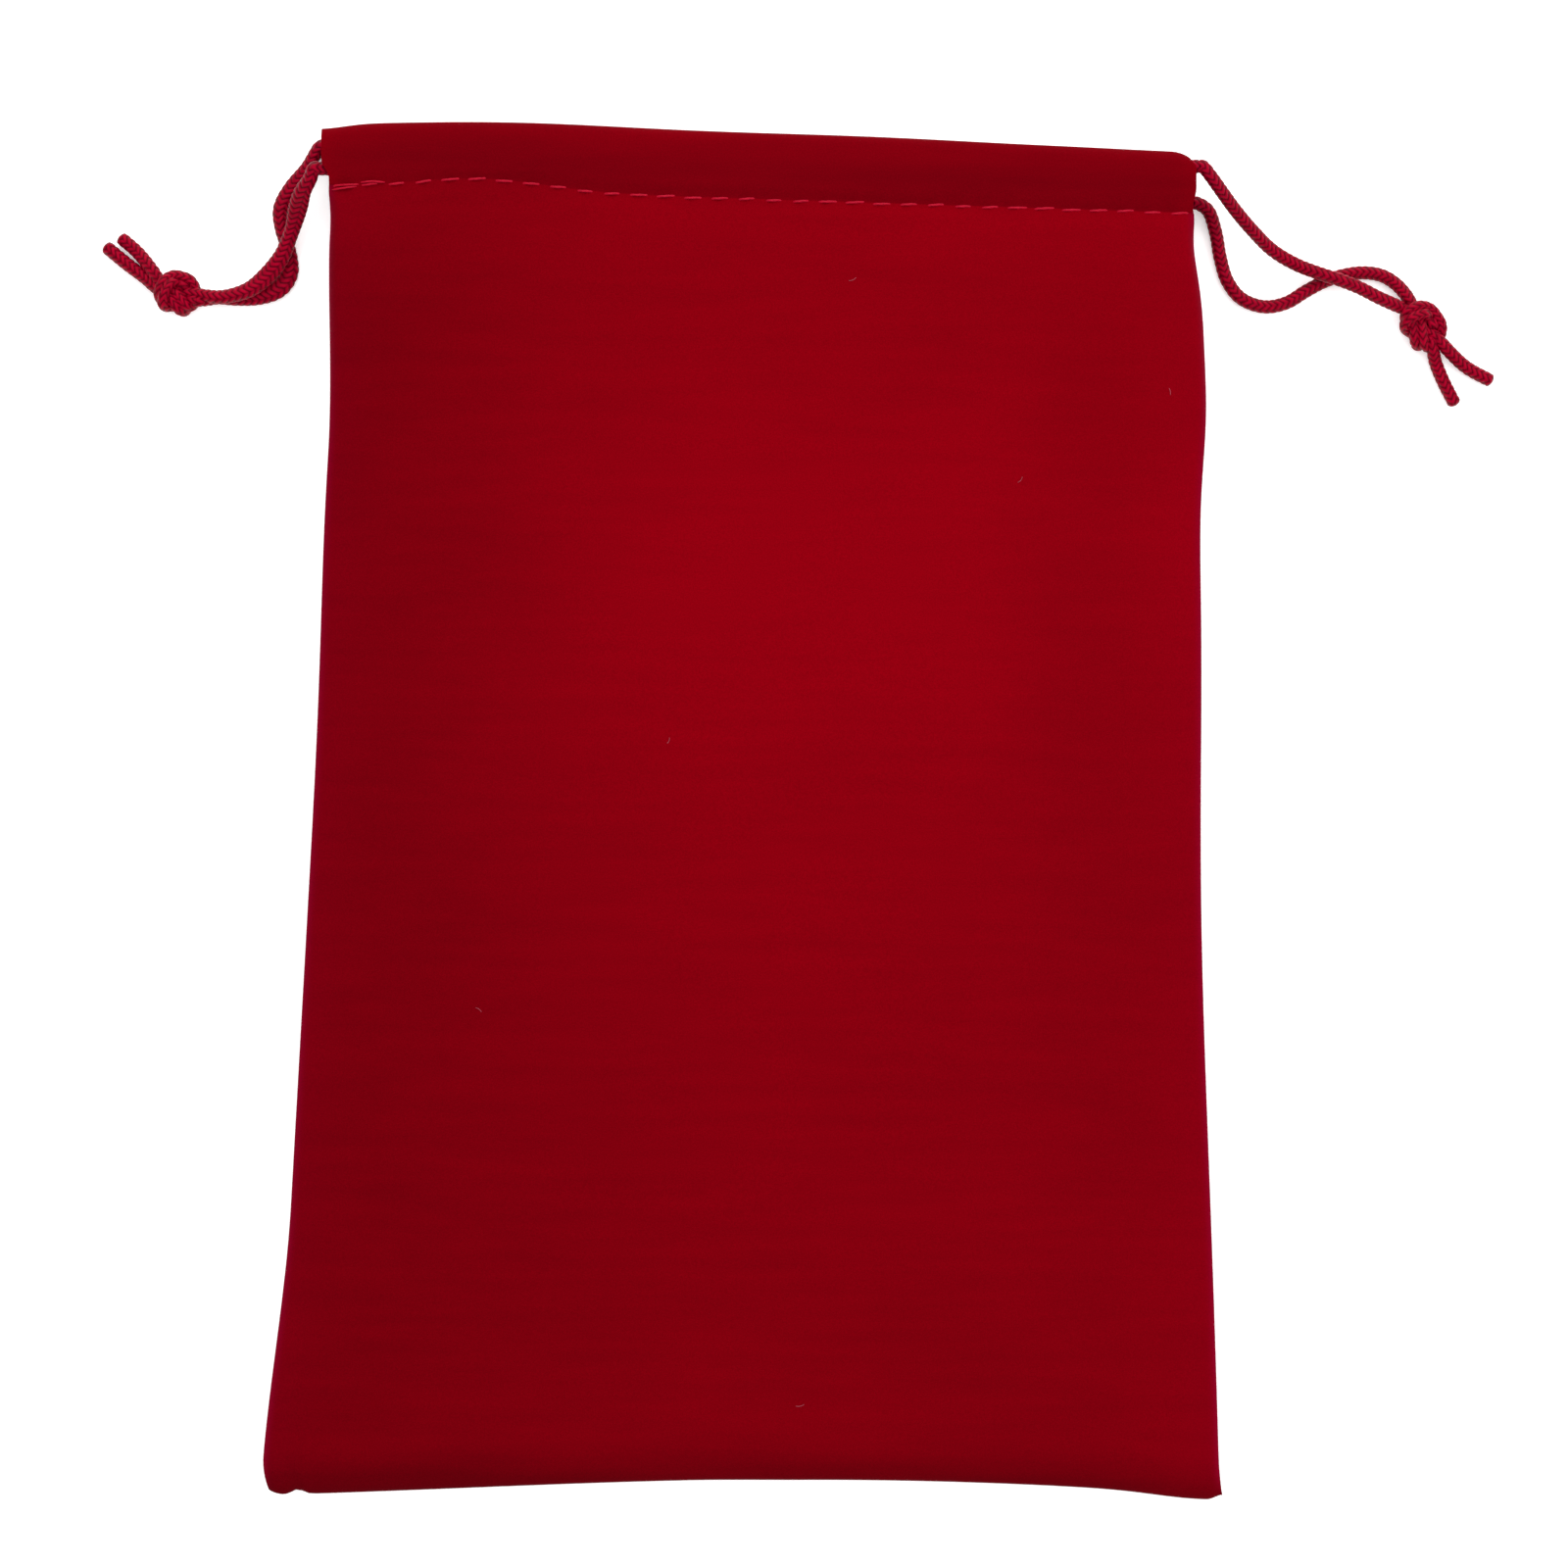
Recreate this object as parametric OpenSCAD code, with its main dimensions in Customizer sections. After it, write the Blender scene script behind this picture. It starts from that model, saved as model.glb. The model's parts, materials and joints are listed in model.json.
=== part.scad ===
// Fabric gift sack: a flat velvet pouch with a stitched hem and two drawstrings.
// It lies on its back. +X runs across the sack, +Y towards its mouth, +Z up.
// The origin is at the middle of the sack's own box, on the surface it lies on.

/* [Sack] */
// Width across the sewn bottom edge
bottom_w = 160; // [130:1:220]
// Width across the mouth
mouth_w = 146; // [110:1:190]
// How far the mouth's middle stands to the right of the bottom's middle
mouth_shift = 2.8; // [-6:0.1:6]
// Height from the bottom edge to the higher mouth corner
sack_h = 228.4; // [160:0.2:320]
// How far the mouth slopes down to the right, in degrees
mouth_tilt = 1.8; // [0:0.1:4]
// Gap between the front and the back at the open mouth
mouth_gap = 5; // [4.4:0.1:9]
// How far the left side draws in between its corners
left_waist = 3.7; // [0:0.1:8]
// How far the right side draws in above its bottom corner
right_waist = 2; // [0:0.1:8]
// How far the bottom edge bows up in its middle
bottom_bow = 2.6; // [0:0.1:6]
// Rounding of the bottom corners
corner_r = 6; // [1.5:0.5:12]

/* [Velvet] */
// Thickness of the velvet
cloth_t = 0.7; // [0.4:0.05:1.2]
// Width of the edges that are turned in along the sides and the bottom
seam_w = 8; // [5:0.5:12]
// Distance from the folded edge to the seam's thread
seam_line = 1.5; // [1:0.1:3]

/* [Casing] */
// Depth from the mouth's fold to the hem stitching
hem_depth = 10.5; // [8.5:0.1:16]
// Turned-in cloth that runs on below the hem stitching
hem_lap = 3; // [2:0.1:6]
// Clearance between the fold's inside and the upper cord
fold_gap = 1; // [0.3:0.1:2]
// Clearance between the hem stitching and the lower cord
hem_gap = 1.7; // [1.2:0.1:3]
// Band of cloth pressed together above the hem stitching
pinch_w = 0.8; // [0.7:0.1:1.1]

/* [Cord] */
// Diameter of the braided cord
cord_d = 2.2; // [1.8:0.1:2.8]
// Clearance round a cord inside its casing
cord_gap = 0.1; // [0.05:0.05:0.4]
// Clearance between a cord's far loop and the end of the casing
loop_gap = 1; // [0.5:0.1:3]

/* [Knots] */
// Diameter of a knot over its wraps
knot_d = 7; // [6:0.1:9]
// Distance between neighbouring wraps of a knot
wrap_pitch = 2; // [1.6:0.1:2.4]

/* [Stitching] */
// Distance from one hem stitch to the next
stitch_pitch = 4.4; // [3.6:0.1:6]
// Length of one hem stitch
stitch_l = 3.1; // [2:0.1:3.4]
// Width of the thread
thread_w = 0.6; // [0.4:0.05:0.8]
// How deep the thread lies in the velvet
thread_t = 0.35; // [0.2:0.05:0.38]
// Slant of each hem stitch, in degrees
stitch_slant = 4; // [0:1:8]
// Stitches sewn twice at the start of a hem
tack_count = 3; // [2:1:5]

/* [Hidden] */

velvet = "#7a000e";
cord_red = "#a8052c";
thread_red = "#c8203a";

LEFT = -1;
RIGHT = 1;
// Points along a curved side, and along the bottom
curve_steps = 10;
// Sides of a swept cord tube, and its steps round a far loop
tube_sides = 8;
turn_steps = 10;
// Longer than any sack, for cutting planes
beyond = 600;

channel_t = cord_d + 2 * cord_gap;
casing_t = 2 * cloth_t + channel_t;
sack_t = 2 * casing_t + mouth_gap;
casing_h = hem_depth + hem_lap;
mouth_l = mouth_w / cos(mouth_tilt);
mouth_y = sack_h / 2 - mouth_l / 2 * sin(mouth_tilt);

// The cords' straight runs: depth below the fold, and height
upper_run = cloth_t + fold_gap + cord_d / 2;
lower_run = hem_depth - hem_gap - cord_d / 2;
back_run_z = cloth_t + cord_gap + cord_d / 2;
front_run_z = sack_t - back_run_z;
loop_r = norm([lower_run - upper_run, front_run_z - back_run_z]) / 2;

// The channel's depth along the panel, and the length of the notch at each end
channel_w = hem_depth - pinch_w - cloth_t;
notch_l = loop_gap + cord_d + loop_r + 2 * cord_gap;

// A hem stitch's row, and the groove that it lies in
row_l = mouth_l - 2 * stitch_pitch / 2;
groove_w = thread_w + stitch_l * sin(stitch_slant) + 0.2;
tack_lift = thread_w + 0.1;

// Free cord routes: across and along from the point where the cord leaves the
// casing, then the clearance under the cord. The first point's height is the run's.
left_front_route = [
  [-3.3, -2.5, 8.4], [-4.3, -5.5, 6.4], [-5.2, -8.3, 4.4], [-6.3, -11, 3.2],
  [-7.4, -13.7, 2.6], [-9.5, -16.6, 1.8], [-12.4, -18.9, 2], [-15.5, -19.6, 2.8],
  [-20.6, -19.5, 3.6]
];
left_back_route = [
  [-3.4, -2.4, 0.4], [-6.3, -6, 0], [-7.6, -10, 0], [-7.2, -13.5, 0],
  [-5.9, -16, 0], [-4.7, -18.7, 0], [-4.6, -21.4, 0], [-6.5, -24, 0],
  [-10, -25.3, 0], [-14.4, -25.9, 0.2], [-21.4, -25.7, 1.3]
];
right_front_route = [
  [3.8, -2.4, 8.6], [6.4, -6, 6.4], [9.3, -9.4, 3.8], [13.1, -12.8, 1.4],
  [17, -15.2, 1.2], [21, -17, 2.8], [24.2, -18.1, 3.2], [27.4, -19.3, 2.8],
  [30.8, -21, 2.8], [35.4, -23.6, 3]
];
right_back_route = [
  [2.6, -1.8, 0.4], [4, -5.6, 0], [4.7, -10.2, 0], [6, -14.2, 0],
  [8.4, -16.8, 0], [11.9, -17.7, 0], [15.5, -16.9, 0], [19, -14.8, 0],
  [21.8, -13.5, 0], [25, -12.7, 0], [28.4, -12.4, 0], [31.6, -12.8, 0],
  [34, -14.5, 0.2], [36.6, -18.8, 0.9]
];
// Knots: across and along from the upper cord's exit, and the way to their tails
left_knot_at = [-24, -25.2];
left_knot_turn = 170;
right_knot_at = [37.6, -25.4];
right_knot_turn = -53;
// Cord ends past the knots, from the knot's middle, with the clearance under them
left_upper_tail_route = [[-2.4, 1.8, 3], [-5.9, 6.3, 1.4], [-9.3, 9.3, 0]];
left_lower_tail_route = [[-2.6, 0.6, 0.8], [-6, 3.1, 0.2], [-9.1, 4.7, 0], [-11.7, 7.2, 0]];
right_upper_tail_route = [[1.8, -1, 3], [4.6, -3.4, 1.4], [7.2, -6, 0.2], [11, -8.9, 0]];
right_lower_tail_route = [[0.8, -2.6, 0.8], [1.9, -5.6, 0.2], [2.9, -8.6, 0], [5.2, -12.4, 0]];

// A point given along the mouth and down from its fold, in the sack's frame
function mouth_point(along, down) = [
  mouth_shift + along * cos(mouth_tilt) - down * sin(mouth_tilt),
  mouth_y - along * sin(mouth_tilt) - down * cos(mouth_tilt)
];
mouth_way = [cos(mouth_tilt), -sin(mouth_tilt)];
function bezier(p, t) =
  p[0] * pow(1 - t, 3) + p[1] * 3 * t * pow(1 - t, 2)
  + p[2] * 3 * t * t * (1 - t) + p[3] * pow(t, 3);

// Radius of a bottom corner, some way inside the edge
function corner_at(inset) = max(corner_r - inset, 0.5);

// One side, from its bottom corner up to the casing, and past it by a lip
function side_curve(side, low_bow, high_bow, inset, lip) =
  let (
    foot = [side * (bottom_w / 2 - inset), inset + corner_at(inset) - sack_h / 2],
    head = mouth_point(side * (mouth_l / 2 - inset), casing_h),
    low = foot + (head - foot) / 3 - [side * low_bow, 0],
    high = foot + (head - foot) * 2 / 3 - [side * high_bow, 0],
    below = [for (i = [0:curve_steps - 1]) bezier([foot, low, high, head], i / curve_steps)]
  )
  concat(below, [head + lip * unit(head - below[curve_steps - 1])]);
function corner(side, inset) =
  let (r = corner_at(inset))
  [for (a = [15:15:75])
    [side * (bottom_w / 2 - inset - r + r * sin(a)), inset - sack_h / 2 + r * (1 - cos(a))]];
function bottom_curve(inset) =
  let (half = bottom_w / 2 - inset - corner_at(inset))
  [for (i = [0:curve_steps])
    let (s = 2 * i / curve_steps - 1)
    [s * half, inset - sack_h / 2 + bottom_bow * pow(cos(90 * s), 2)]];
function reversed(list) = [for (i = [len(list) - 1:-1:0]) list[i]];
// A panel's edge, or a line inside it that runs on past the casing by a lip
function outline(inset, lip) = concat(
  bottom_curve(inset),
  corner(RIGHT, inset),
  side_curve(RIGHT, right_waist, -right_waist / 2, inset, lip),
  reversed(side_curve(LEFT, left_waist, left_waist, inset, lip)),
  reversed(corner(LEFT, inset))
);

// Puts what is drawn along the mouth, with its fold on the X axis, in place
module at_mouth() {
  translate([mouth_shift, mouth_y, 0]) rotate([0, 0, -mouth_tilt]) children();
}
// Turns the back's drawing over to make the front's
module to_front() {
  translate([0, 0, sack_t]) mirror([0, 0, 1]) children();
}
// A flat band along the sack's edge, open at the casing
module edge_band(outer, inner) {
  difference() {
    polygon(outline(outer, 0));
    polygon(outline(inner, 1));
  }
}

// The part of an edge band along the bottom, the left side or the right side
band_split = cloth_t + seam_w + bottom_bow + 1 - sack_h / 2;
module bottom_part() {
  intersection() {
    children();
    translate([-beyond / 2, band_split - beyond]) square(beyond);
  }
}
module side_part(side) {
  intersection() {
    children();
    translate([side > 0 ? 0 : -beyond, band_split]) square(beyond);
  }
}

module front_panel() {
  color(velvet) difference() {
    translate([0, 0, cloth_t]) linear_extrude(sack_t - cloth_t) polygon(outline(0, 0));
    linear_extrude(sack_t - cloth_t) polygon(outline(cloth_t, 1));
  }
}
module back_panel() {
  color(velvet) linear_extrude(cloth_t) polygon(outline(0, 0));
}

// The back's casing. Its outer face is at the bottom, and its channel is open at both ends.
module casing_profile() {
  difference() {
    union() {
      translate([0, casing_t / 2]) circle(d = casing_t, $fn = 48);
      translate([0, 0]) square([casing_h - casing_t / 2, casing_t]);
    }
    translate([cloth_t - casing_t / 2, cloth_t]) square([channel_w, channel_t]);
  }
}
module casing() {
  difference() {
    translate([-mouth_l / 2, -casing_t / 2, 0])
      rotate([90, 0, 90]) linear_extrude(mouth_l) mirror([1, 0]) casing_profile();
    groove(row_l, 0);
    tack_groove();
    for (side = [LEFT, RIGHT]) loop_notch(side);
  }
}
// Where the inner layer is cut away at the casing's end, for a far loop to pass
module loop_notch(side) {
  translate([side * (mouth_l / 2 - notch_l / 2), -cloth_t - channel_w / 2, casing_t])
    cube([notch_l + 1, channel_w, 2 * cloth_t + 1], center = true);
}
module groove(length, lift) {
  translate([-row_l / 2, lift - hem_depth - groove_w / 2, -1])
    cube([length, groove_w, 1 + thread_t]);
}
module tack_groove() {
  groove(tack_count * stitch_pitch, tack_lift);
}
module back_hem_casing() {
  color(velvet) at_mouth() casing();
}
module front_hem_casing() {
  color(velvet) to_front() at_mouth() casing();
}

// The turned-in edges of both panels, lying on the back panel
module seam_allowance() {
  translate([0, 0, cloth_t]) linear_extrude(2 * cloth_t) children();
}
module left_seam_allowance() {
  color(velvet) seam_allowance() side_part(LEFT) edge_band(cloth_t, cloth_t + seam_w);
}
module right_seam_allowance() {
  color(velvet) seam_allowance() side_part(RIGHT) edge_band(cloth_t, cloth_t + seam_w);
}
module bottom_seam_allowance() {
  color(velvet) seam_allowance() bottom_part() edge_band(cloth_t, cloth_t + seam_w);
}
// The thread that joins them, lying on top
module seam_thread() {
  color(thread_red) translate([0, 0, 3 * cloth_t]) linear_extrude(thread_t) children();
}
module seam_thread_band() {
  edge_band(cloth_t + seam_line, cloth_t + seam_line + thread_w);
}
module left_seam_thread() {
  seam_thread() side_part(LEFT) seam_thread_band();
}
module right_seam_thread() {
  seam_thread() side_part(RIGHT) seam_thread_band();
}
module bottom_seam_thread() {
  seam_thread() bottom_part() seam_thread_band();
}

// One stitch on the back's outer face
module stitch(along, lift) {
  translate([along, lift - hem_depth, 0]) rotate([0, 0, stitch_slant])
    linear_extrude(thread_t) {
      translate([0, -thread_w / 2]) square([stitch_l - thread_w, thread_w]);
      translate([0, 0]) circle(d = thread_w, $fn = 24);
      translate([stitch_l - thread_w, 0]) circle(d = thread_w, $fn = 24);
    }
}
module stitch_row(count, lift) {
  for (i = [0:count - 1])
    stitch(-row_l / 2 + thread_w + i * stitch_pitch, lift);
}
hem_count = floor((row_l - stitch_l - thread_w) / stitch_pitch) + 1;
module back_hem_thread() {
  color(thread_red) at_mouth() stitch_row(hem_count, 0);
}
module front_hem_thread() {
  color(thread_red) to_front() at_mouth() stitch_row(hem_count, 0);
}
module back_back_tack() {
  color(thread_red) at_mouth() stitch_row(tack_count - 1, tack_lift);
}
module front_back_tack() {
  color(thread_red) to_front() at_mouth() stitch_row(tack_count - 1, tack_lift);
}

// A tube swept along a list of points
function unit(v) = v / norm(v);
function tangent(path, i) =
  unit(path[min(i + 1, len(path) - 1)] - path[max(i - 1, 0)]);
function ring(centre, way) =
  let (
    across = unit(cross([0, 0, 1], way)),
    up = cross(way, across)
  )
  [for (k = [0:tube_sides - 1])
    centre + cord_d / 2 * (across * cos(360 * k / tube_sides) + up * sin(360 * k / tube_sides))];
module tube(path, first_way, last_way) {
  last = len(path) - 1;
  ways = [for (i = [0:last]) i == 0 ? first_way : i == last ? last_way : tangent(path, i)];
  points = [for (i = [0:last]) each ring(path[i], ways[i])];
  walls = [for (i = [0:last - 1]) for (k = [0:tube_sides - 1])
    let (a = i * tube_sides + k, b = i * tube_sides + (k + 1) % tube_sides)
    each [[a, a + tube_sides, b + tube_sides], [a, b + tube_sides, b]]];
  start = [[for (k = [0:tube_sides - 1]) k]];
  end = [[for (k = [tube_sides - 1:-1:0]) last * tube_sides + k]];
  color(cord_red) polyhedron(points = points, faces = concat(start, end, walls), convexity = 6);
}
// Route points lifted to the cord's middle, from a place on the surface
function lifted(at, route) =
  [for (p = route) [at[0] + p[0], at[1] + p[1], cord_d / 2 + p[2]]];
// A cord inside the casings: a run in each, and the loop that joins them at the far end
module cord_loop(side, front_depth, back_depth) {
  turn_at = mouth_l / 2 - loop_gap - cord_d / 2 - loop_r;
  exits = [for (depth = [front_depth, back_depth]) mouth_point(side * mouth_l / 2, depth)];
  way = side * concat(mouth_way, 0);
  middle = concat(mouth_point(-side * turn_at, (front_depth + back_depth) / 2), sack_t / 2);
  reach = concat(mouth_point(-side * turn_at, front_depth), front_run_z) - middle;
  turn = [for (a = [0:180 / turn_steps:180]) middle + reach * cos(a) - way * loop_r * sin(a)];
  tube(concat([concat(exits[0], front_run_z)], turn, [concat(exits[1], back_run_z)]), -way, way);
}
module strand(side, depth, exit_z, route) {
  exit = mouth_point(side * mouth_l / 2, depth);
  path = concat([concat(exit, exit_z)], lifted(exit, route));
  tube(path, side * concat(mouth_way, 0), tangent(path, len(path) - 1));
}
module tail(side, knot_at, route) {
  path = lifted(mouth_point(side * mouth_l / 2, upper_run) + knot_at, route);
  tube(path, tangent(path, 0), tangent(path, len(path) - 1));
}
// A doubled cord tied in an overhand knot: three wraps round its middle
module knot(side, knot_at, turn) {
  at = mouth_point(side * mouth_l / 2, upper_run) + knot_at;
  wrap_r = (knot_d - cord_d) / 2;
  color(cord_red) translate([at[0], at[1], knot_d / 2]) rotate([0, 90, turn]) {
    for (i = [-1:1])
      translate([0, 0, i * wrap_pitch]) rotate_extrude($fn = 48)
        translate([wrap_r, 0]) circle(d = cord_d, $fn = 32);
    translate([0, 0, -wrap_pitch - cord_d / 2]) cylinder(h = 2 * wrap_pitch + cord_d, r = wrap_r, $fn = 48);
  }
}

module left_cord_loop() {
  cord_loop(LEFT, lower_run, upper_run);
}
module left_front_strand() {
  strand(LEFT, lower_run, front_run_z, left_front_route);
}
module left_back_strand() {
  strand(LEFT, upper_run, back_run_z, left_back_route);
}
module left_knot() {
  knot(LEFT, left_knot_at, left_knot_turn);
}
module left_upper_tail() {
  tail(LEFT, left_knot_at, left_upper_tail_route);
}
module left_lower_tail() {
  tail(LEFT, left_knot_at, left_lower_tail_route);
}
module right_cord_loop() {
  cord_loop(RIGHT, upper_run, lower_run);
}
module right_front_strand() {
  strand(RIGHT, upper_run, front_run_z, right_front_route);
}
module right_back_strand() {
  strand(RIGHT, lower_run, back_run_z, right_back_route);
}
module right_knot() {
  knot(RIGHT, right_knot_at, right_knot_turn);
}
module right_upper_tail() {
  tail(RIGHT, right_knot_at, right_upper_tail_route);
}
module right_lower_tail() {
  tail(RIGHT, right_knot_at, right_lower_tail_route);
}

front_panel();
back_panel();
front_hem_casing();
back_hem_casing();
left_seam_allowance();
right_seam_allowance();
bottom_seam_allowance();
left_seam_thread();
right_seam_thread();
bottom_seam_thread();
front_hem_thread();
back_hem_thread();
front_back_tack();
back_back_tack();
left_cord_loop();
left_front_strand();
left_back_strand();
left_knot();
left_upper_tail();
left_lower_tail();
right_cord_loop();
right_front_strand();
right_back_strand();
right_knot();
right_upper_tail();
right_lower_tail();
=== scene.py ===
"""A velvet gift sack with two braided drawstrings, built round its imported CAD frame.

The sack lies flat on its back. Its mouth is towards +Y, and Z is up.
Lengths are in millimetres inside the functions, and meshes are made in metres.
"""

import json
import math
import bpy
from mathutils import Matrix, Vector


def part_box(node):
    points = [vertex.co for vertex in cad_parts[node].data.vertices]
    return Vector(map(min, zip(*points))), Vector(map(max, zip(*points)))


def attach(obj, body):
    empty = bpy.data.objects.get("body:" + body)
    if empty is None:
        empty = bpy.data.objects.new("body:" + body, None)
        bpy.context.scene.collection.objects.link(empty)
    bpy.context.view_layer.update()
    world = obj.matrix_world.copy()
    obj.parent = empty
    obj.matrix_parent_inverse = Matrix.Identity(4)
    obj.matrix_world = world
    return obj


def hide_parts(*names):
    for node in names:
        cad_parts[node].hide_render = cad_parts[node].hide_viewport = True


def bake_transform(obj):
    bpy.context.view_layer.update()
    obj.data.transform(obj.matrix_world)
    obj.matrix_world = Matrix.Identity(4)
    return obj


bl_info = {
    "name": "Velvet Gift Sack",
    "version": (1, 0, 0),
    "blender": (4, 5, 0),
    "location": "3D View > Sidebar > Gift Sack",
    "description": "Builds a velvet gift sack with braided drawstrings over its CAD frame",
    "category": "Add Mesh",
}

import bpy
import numpy as np

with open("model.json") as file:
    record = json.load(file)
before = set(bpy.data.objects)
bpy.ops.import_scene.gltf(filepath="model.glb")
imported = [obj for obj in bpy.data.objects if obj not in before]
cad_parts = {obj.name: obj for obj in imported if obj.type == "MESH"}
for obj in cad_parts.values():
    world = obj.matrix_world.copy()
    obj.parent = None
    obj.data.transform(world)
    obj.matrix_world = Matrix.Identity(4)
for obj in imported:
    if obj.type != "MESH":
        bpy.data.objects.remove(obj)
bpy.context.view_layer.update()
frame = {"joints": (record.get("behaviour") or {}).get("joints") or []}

MM = 0.001
LEFT, RIGHT = -1, 1
SIDES = {LEFT: "left", RIGHT: "right"}


# ---------------------------------------------------------------- frame sizes


def box_mm(node):
    """A CAD node's lowest and highest corners, in millimetres."""
    low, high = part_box(node)
    return np.array(low) / MM, np.array(high) / MM


DRAW_AXIS = {j["child"]: np.array(j["axis"]) for j in frame["joints"]}
TILT = math.atan2(-DRAW_AXIS["right_drawstring"][1], DRAW_AXIS["right_drawstring"][0])
TILT_COS, TILT_SIN = math.cos(TILT), math.sin(TILT)

# The casing lies turned by the tilt, so its own sizes are worked back from those of its box.
CASING_LOW, CASING_HIGH = box_mm("front_hem_casing")
BOX_WIDE, BOX_DEEP = (CASING_HIGH - CASING_LOW)[:2]
CASING_DEPTH = (BOX_DEEP * TILT_COS - BOX_WIDE * TILT_SIN) / math.cos(2 * TILT)
MOUTH_LENGTH = (BOX_WIDE * TILT_COS - BOX_DEEP * TILT_SIN) / math.cos(2 * TILT)
MOUTH_MIDDLE = (CASING_LOW + CASING_HIGH)[:2] / 2 + CASING_DEPTH / 2 * np.array([TILT_SIN, TILT_COS])
SACK_TOP, HEM_UNDERSIDE = CASING_HIGH[2], CASING_LOW[2]
PANEL_LOW, PANEL_HIGH = box_mm("front_panel")


def mouth_point(along, down):
    """A point given along the mouth from its middle and down from its fold."""
    return np.array([
        MOUTH_MIDDLE[0] + along * TILT_COS - down * TILT_SIN,
        MOUTH_MIDDLE[1] - along * TILT_SIN - down * TILT_COS,
    ])


def mouth_end(side, down):
    """The point down from one end of the mouth's fold."""
    return mouth_point(side * MOUTH_LENGTH / 2, down)


# ------------------------------------------------------------------- settings


class SackSizes(bpy.types.PropertyGroup):
    """Sizes that can be changed before the sack is built."""

    cloth: bpy.props.FloatProperty(
        name="Cloth", description="Thickness of the velvet", default=0.0007, unit="LENGTH"
    )
    puff: bpy.props.FloatProperty(
        name="Puff", description="How far the middle stands above the edges",
        default=0.0046, unit="LENGTH",
    )
    side_roll: bpy.props.FloatProperty(
        name="Side roll", description="Width of the rounded edge at the sides",
        default=0.0022, unit="LENGTH",
    )
    bottom_roll: bpy.props.FloatProperty(
        name="Bottom roll", description="Width of the rounded edge at the bottom",
        default=0.0058, unit="LENGTH",
    )
    hem_depth: bpy.props.FloatProperty(
        name="Hem depth", description="From the fold to the hem's stitching",
        default=0.0105, unit="LENGTH",
    )
    seam_width: bpy.props.FloatProperty(
        name="Seam width", description="Cloth turned in at the side and bottom seams",
        default=0.008, unit="LENGTH",
    )
    stitch_pitch: bpy.props.FloatProperty(
        name="Stitch pitch", description="From one hem stitch to the next",
        default=0.0044, unit="LENGTH",
    )
    stitch_length: bpy.props.FloatProperty(
        name="Stitch length", description="Thread that shows at each hem stitch",
        default=0.0034, unit="LENGTH",
    )
    thread: bpy.props.FloatProperty(
        name="Thread", description="Width of the sewing thread", default=0.00044, unit="LENGTH"
    )
    cord: bpy.props.FloatProperty(
        name="Cord", description="Diameter of the drawstring cord",
        default=0.0022, unit="LENGTH",
    )
    knot_cord: bpy.props.FloatProperty(
        name="Cord in knots", description="Distance between cords pulled tight in a knot",
        default=0.00136, unit="LENGTH",
    )
    braid_pitch: bpy.props.FloatProperty(
        name="Braid pitch", description="Length of one chevron of the braid",
        default=0.00105, unit="LENGTH",
    )


def colour_setting(name, description, rgb):
    """A colour that the user can change."""
    return bpy.props.FloatVectorProperty(
        name=name, description=description, default=rgb, size=3, min=0, max=1, subtype="COLOR"
    )


class SackColours(bpy.types.PropertyGroup):
    """Colours that can be changed before the sack is built."""

    # Painted light and shade: the two colours below are a shaded and a lit copy of the velvet, mixed over the
    # cloth by its painted light.
    velvet: colour_setting("Velvet", "Velvet with its pile leaning away", (0.088, 0.0, 0.002))
    velvet_painted_lit: colour_setting(
        "Velvet light", "Velvet where its pile leans to the light", (0.180, 0.0, 0.003)
    )
    # Painted sheen, mixed in where the cloth turns over at the edges.
    velvet_painted_sheen: colour_setting(
        "Velvet rim", "Pile standing open where the cloth turns over", (0.165, 0.0, 0.011)
    )
    pile_glow: colour_setting("Pile glow", "Light caught by the pile at the edges", (1.0, 0.02, 0.2))
    # Painted shade and light on the cord: the first colour darkens it between its floats, and the second is
    # lit on their crowns.
    cord_painted_shade: colour_setting("Cord hollow", "Cord between its floats", (0.05, 0.0, 0.003))
    cord: colour_setting("Cord", "Crowns of the cord's floats", (0.31, 0.0, 0.015))
    thread: colour_setting("Thread", "Sewing thread", (0.36, 0.001, 0.014))
    lint: colour_setting("Lint", "Fibres lying on the velvet", (0.36, 0.05, 0.08))


# ----------------------------------------------------------------- small tools


def ease(x):
    """0 up to 0, 1 from 1, and smooth between."""
    x = np.clip(x, 0, 1)
    return x * x * (3 - 2 * x)


def bell(x, middle, reach):
    """1 at the middle, and falling off smoothly to either side."""
    return np.exp(-(((x - middle) / reach) ** 2))


def humps(x, *each):
    """Smooth humps added up, each given as (height, place, reach)."""
    return sum(height * bell(x, place, reach) for height, place, reach in each)


def quarter(x):
    """The height of a quarter circle of radius 1, x in from its edge."""
    return np.sqrt(1 - (1 - np.clip(x, 0, 1)) ** 2)


def spaced(length, coarse, fine, low_reach, high_reach):
    """Distances from 0 to length, close together near the ends that have a reach."""
    at = np.linspace(0, length, 4000)
    near = np.zeros_like(at)
    if low_reach:
        near += np.exp(-at / low_reach)
    if high_reach:
        near += np.exp(-(length - at) / high_reach)
    density = 1 / coarse + (1 / fine - 1 / coarse) * near
    count = np.concatenate([[0], np.cumsum((density[1:] + density[:-1]) / 2 * np.diff(at))])
    return np.interp(np.linspace(0, count[-1], int(round(count[-1])) + 1), count, at)


def mesh_piece(name, points_mm, faces, material):
    """A smooth mesh object from points in millimetres."""
    mesh = bpy.data.meshes.new(name)
    mesh.from_pydata((np.asarray(points_mm) * MM).tolist(), [], [list(map(int, f)) for f in faces])
    mesh.materials.append(material)
    mesh.polygons.foreach_set("use_smooth", np.ones(len(mesh.polygons), bool))
    mesh.update()
    piece = bpy.data.objects.new(name, mesh)
    bpy.context.scene.collection.objects.link(piece)
    return piece


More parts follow.
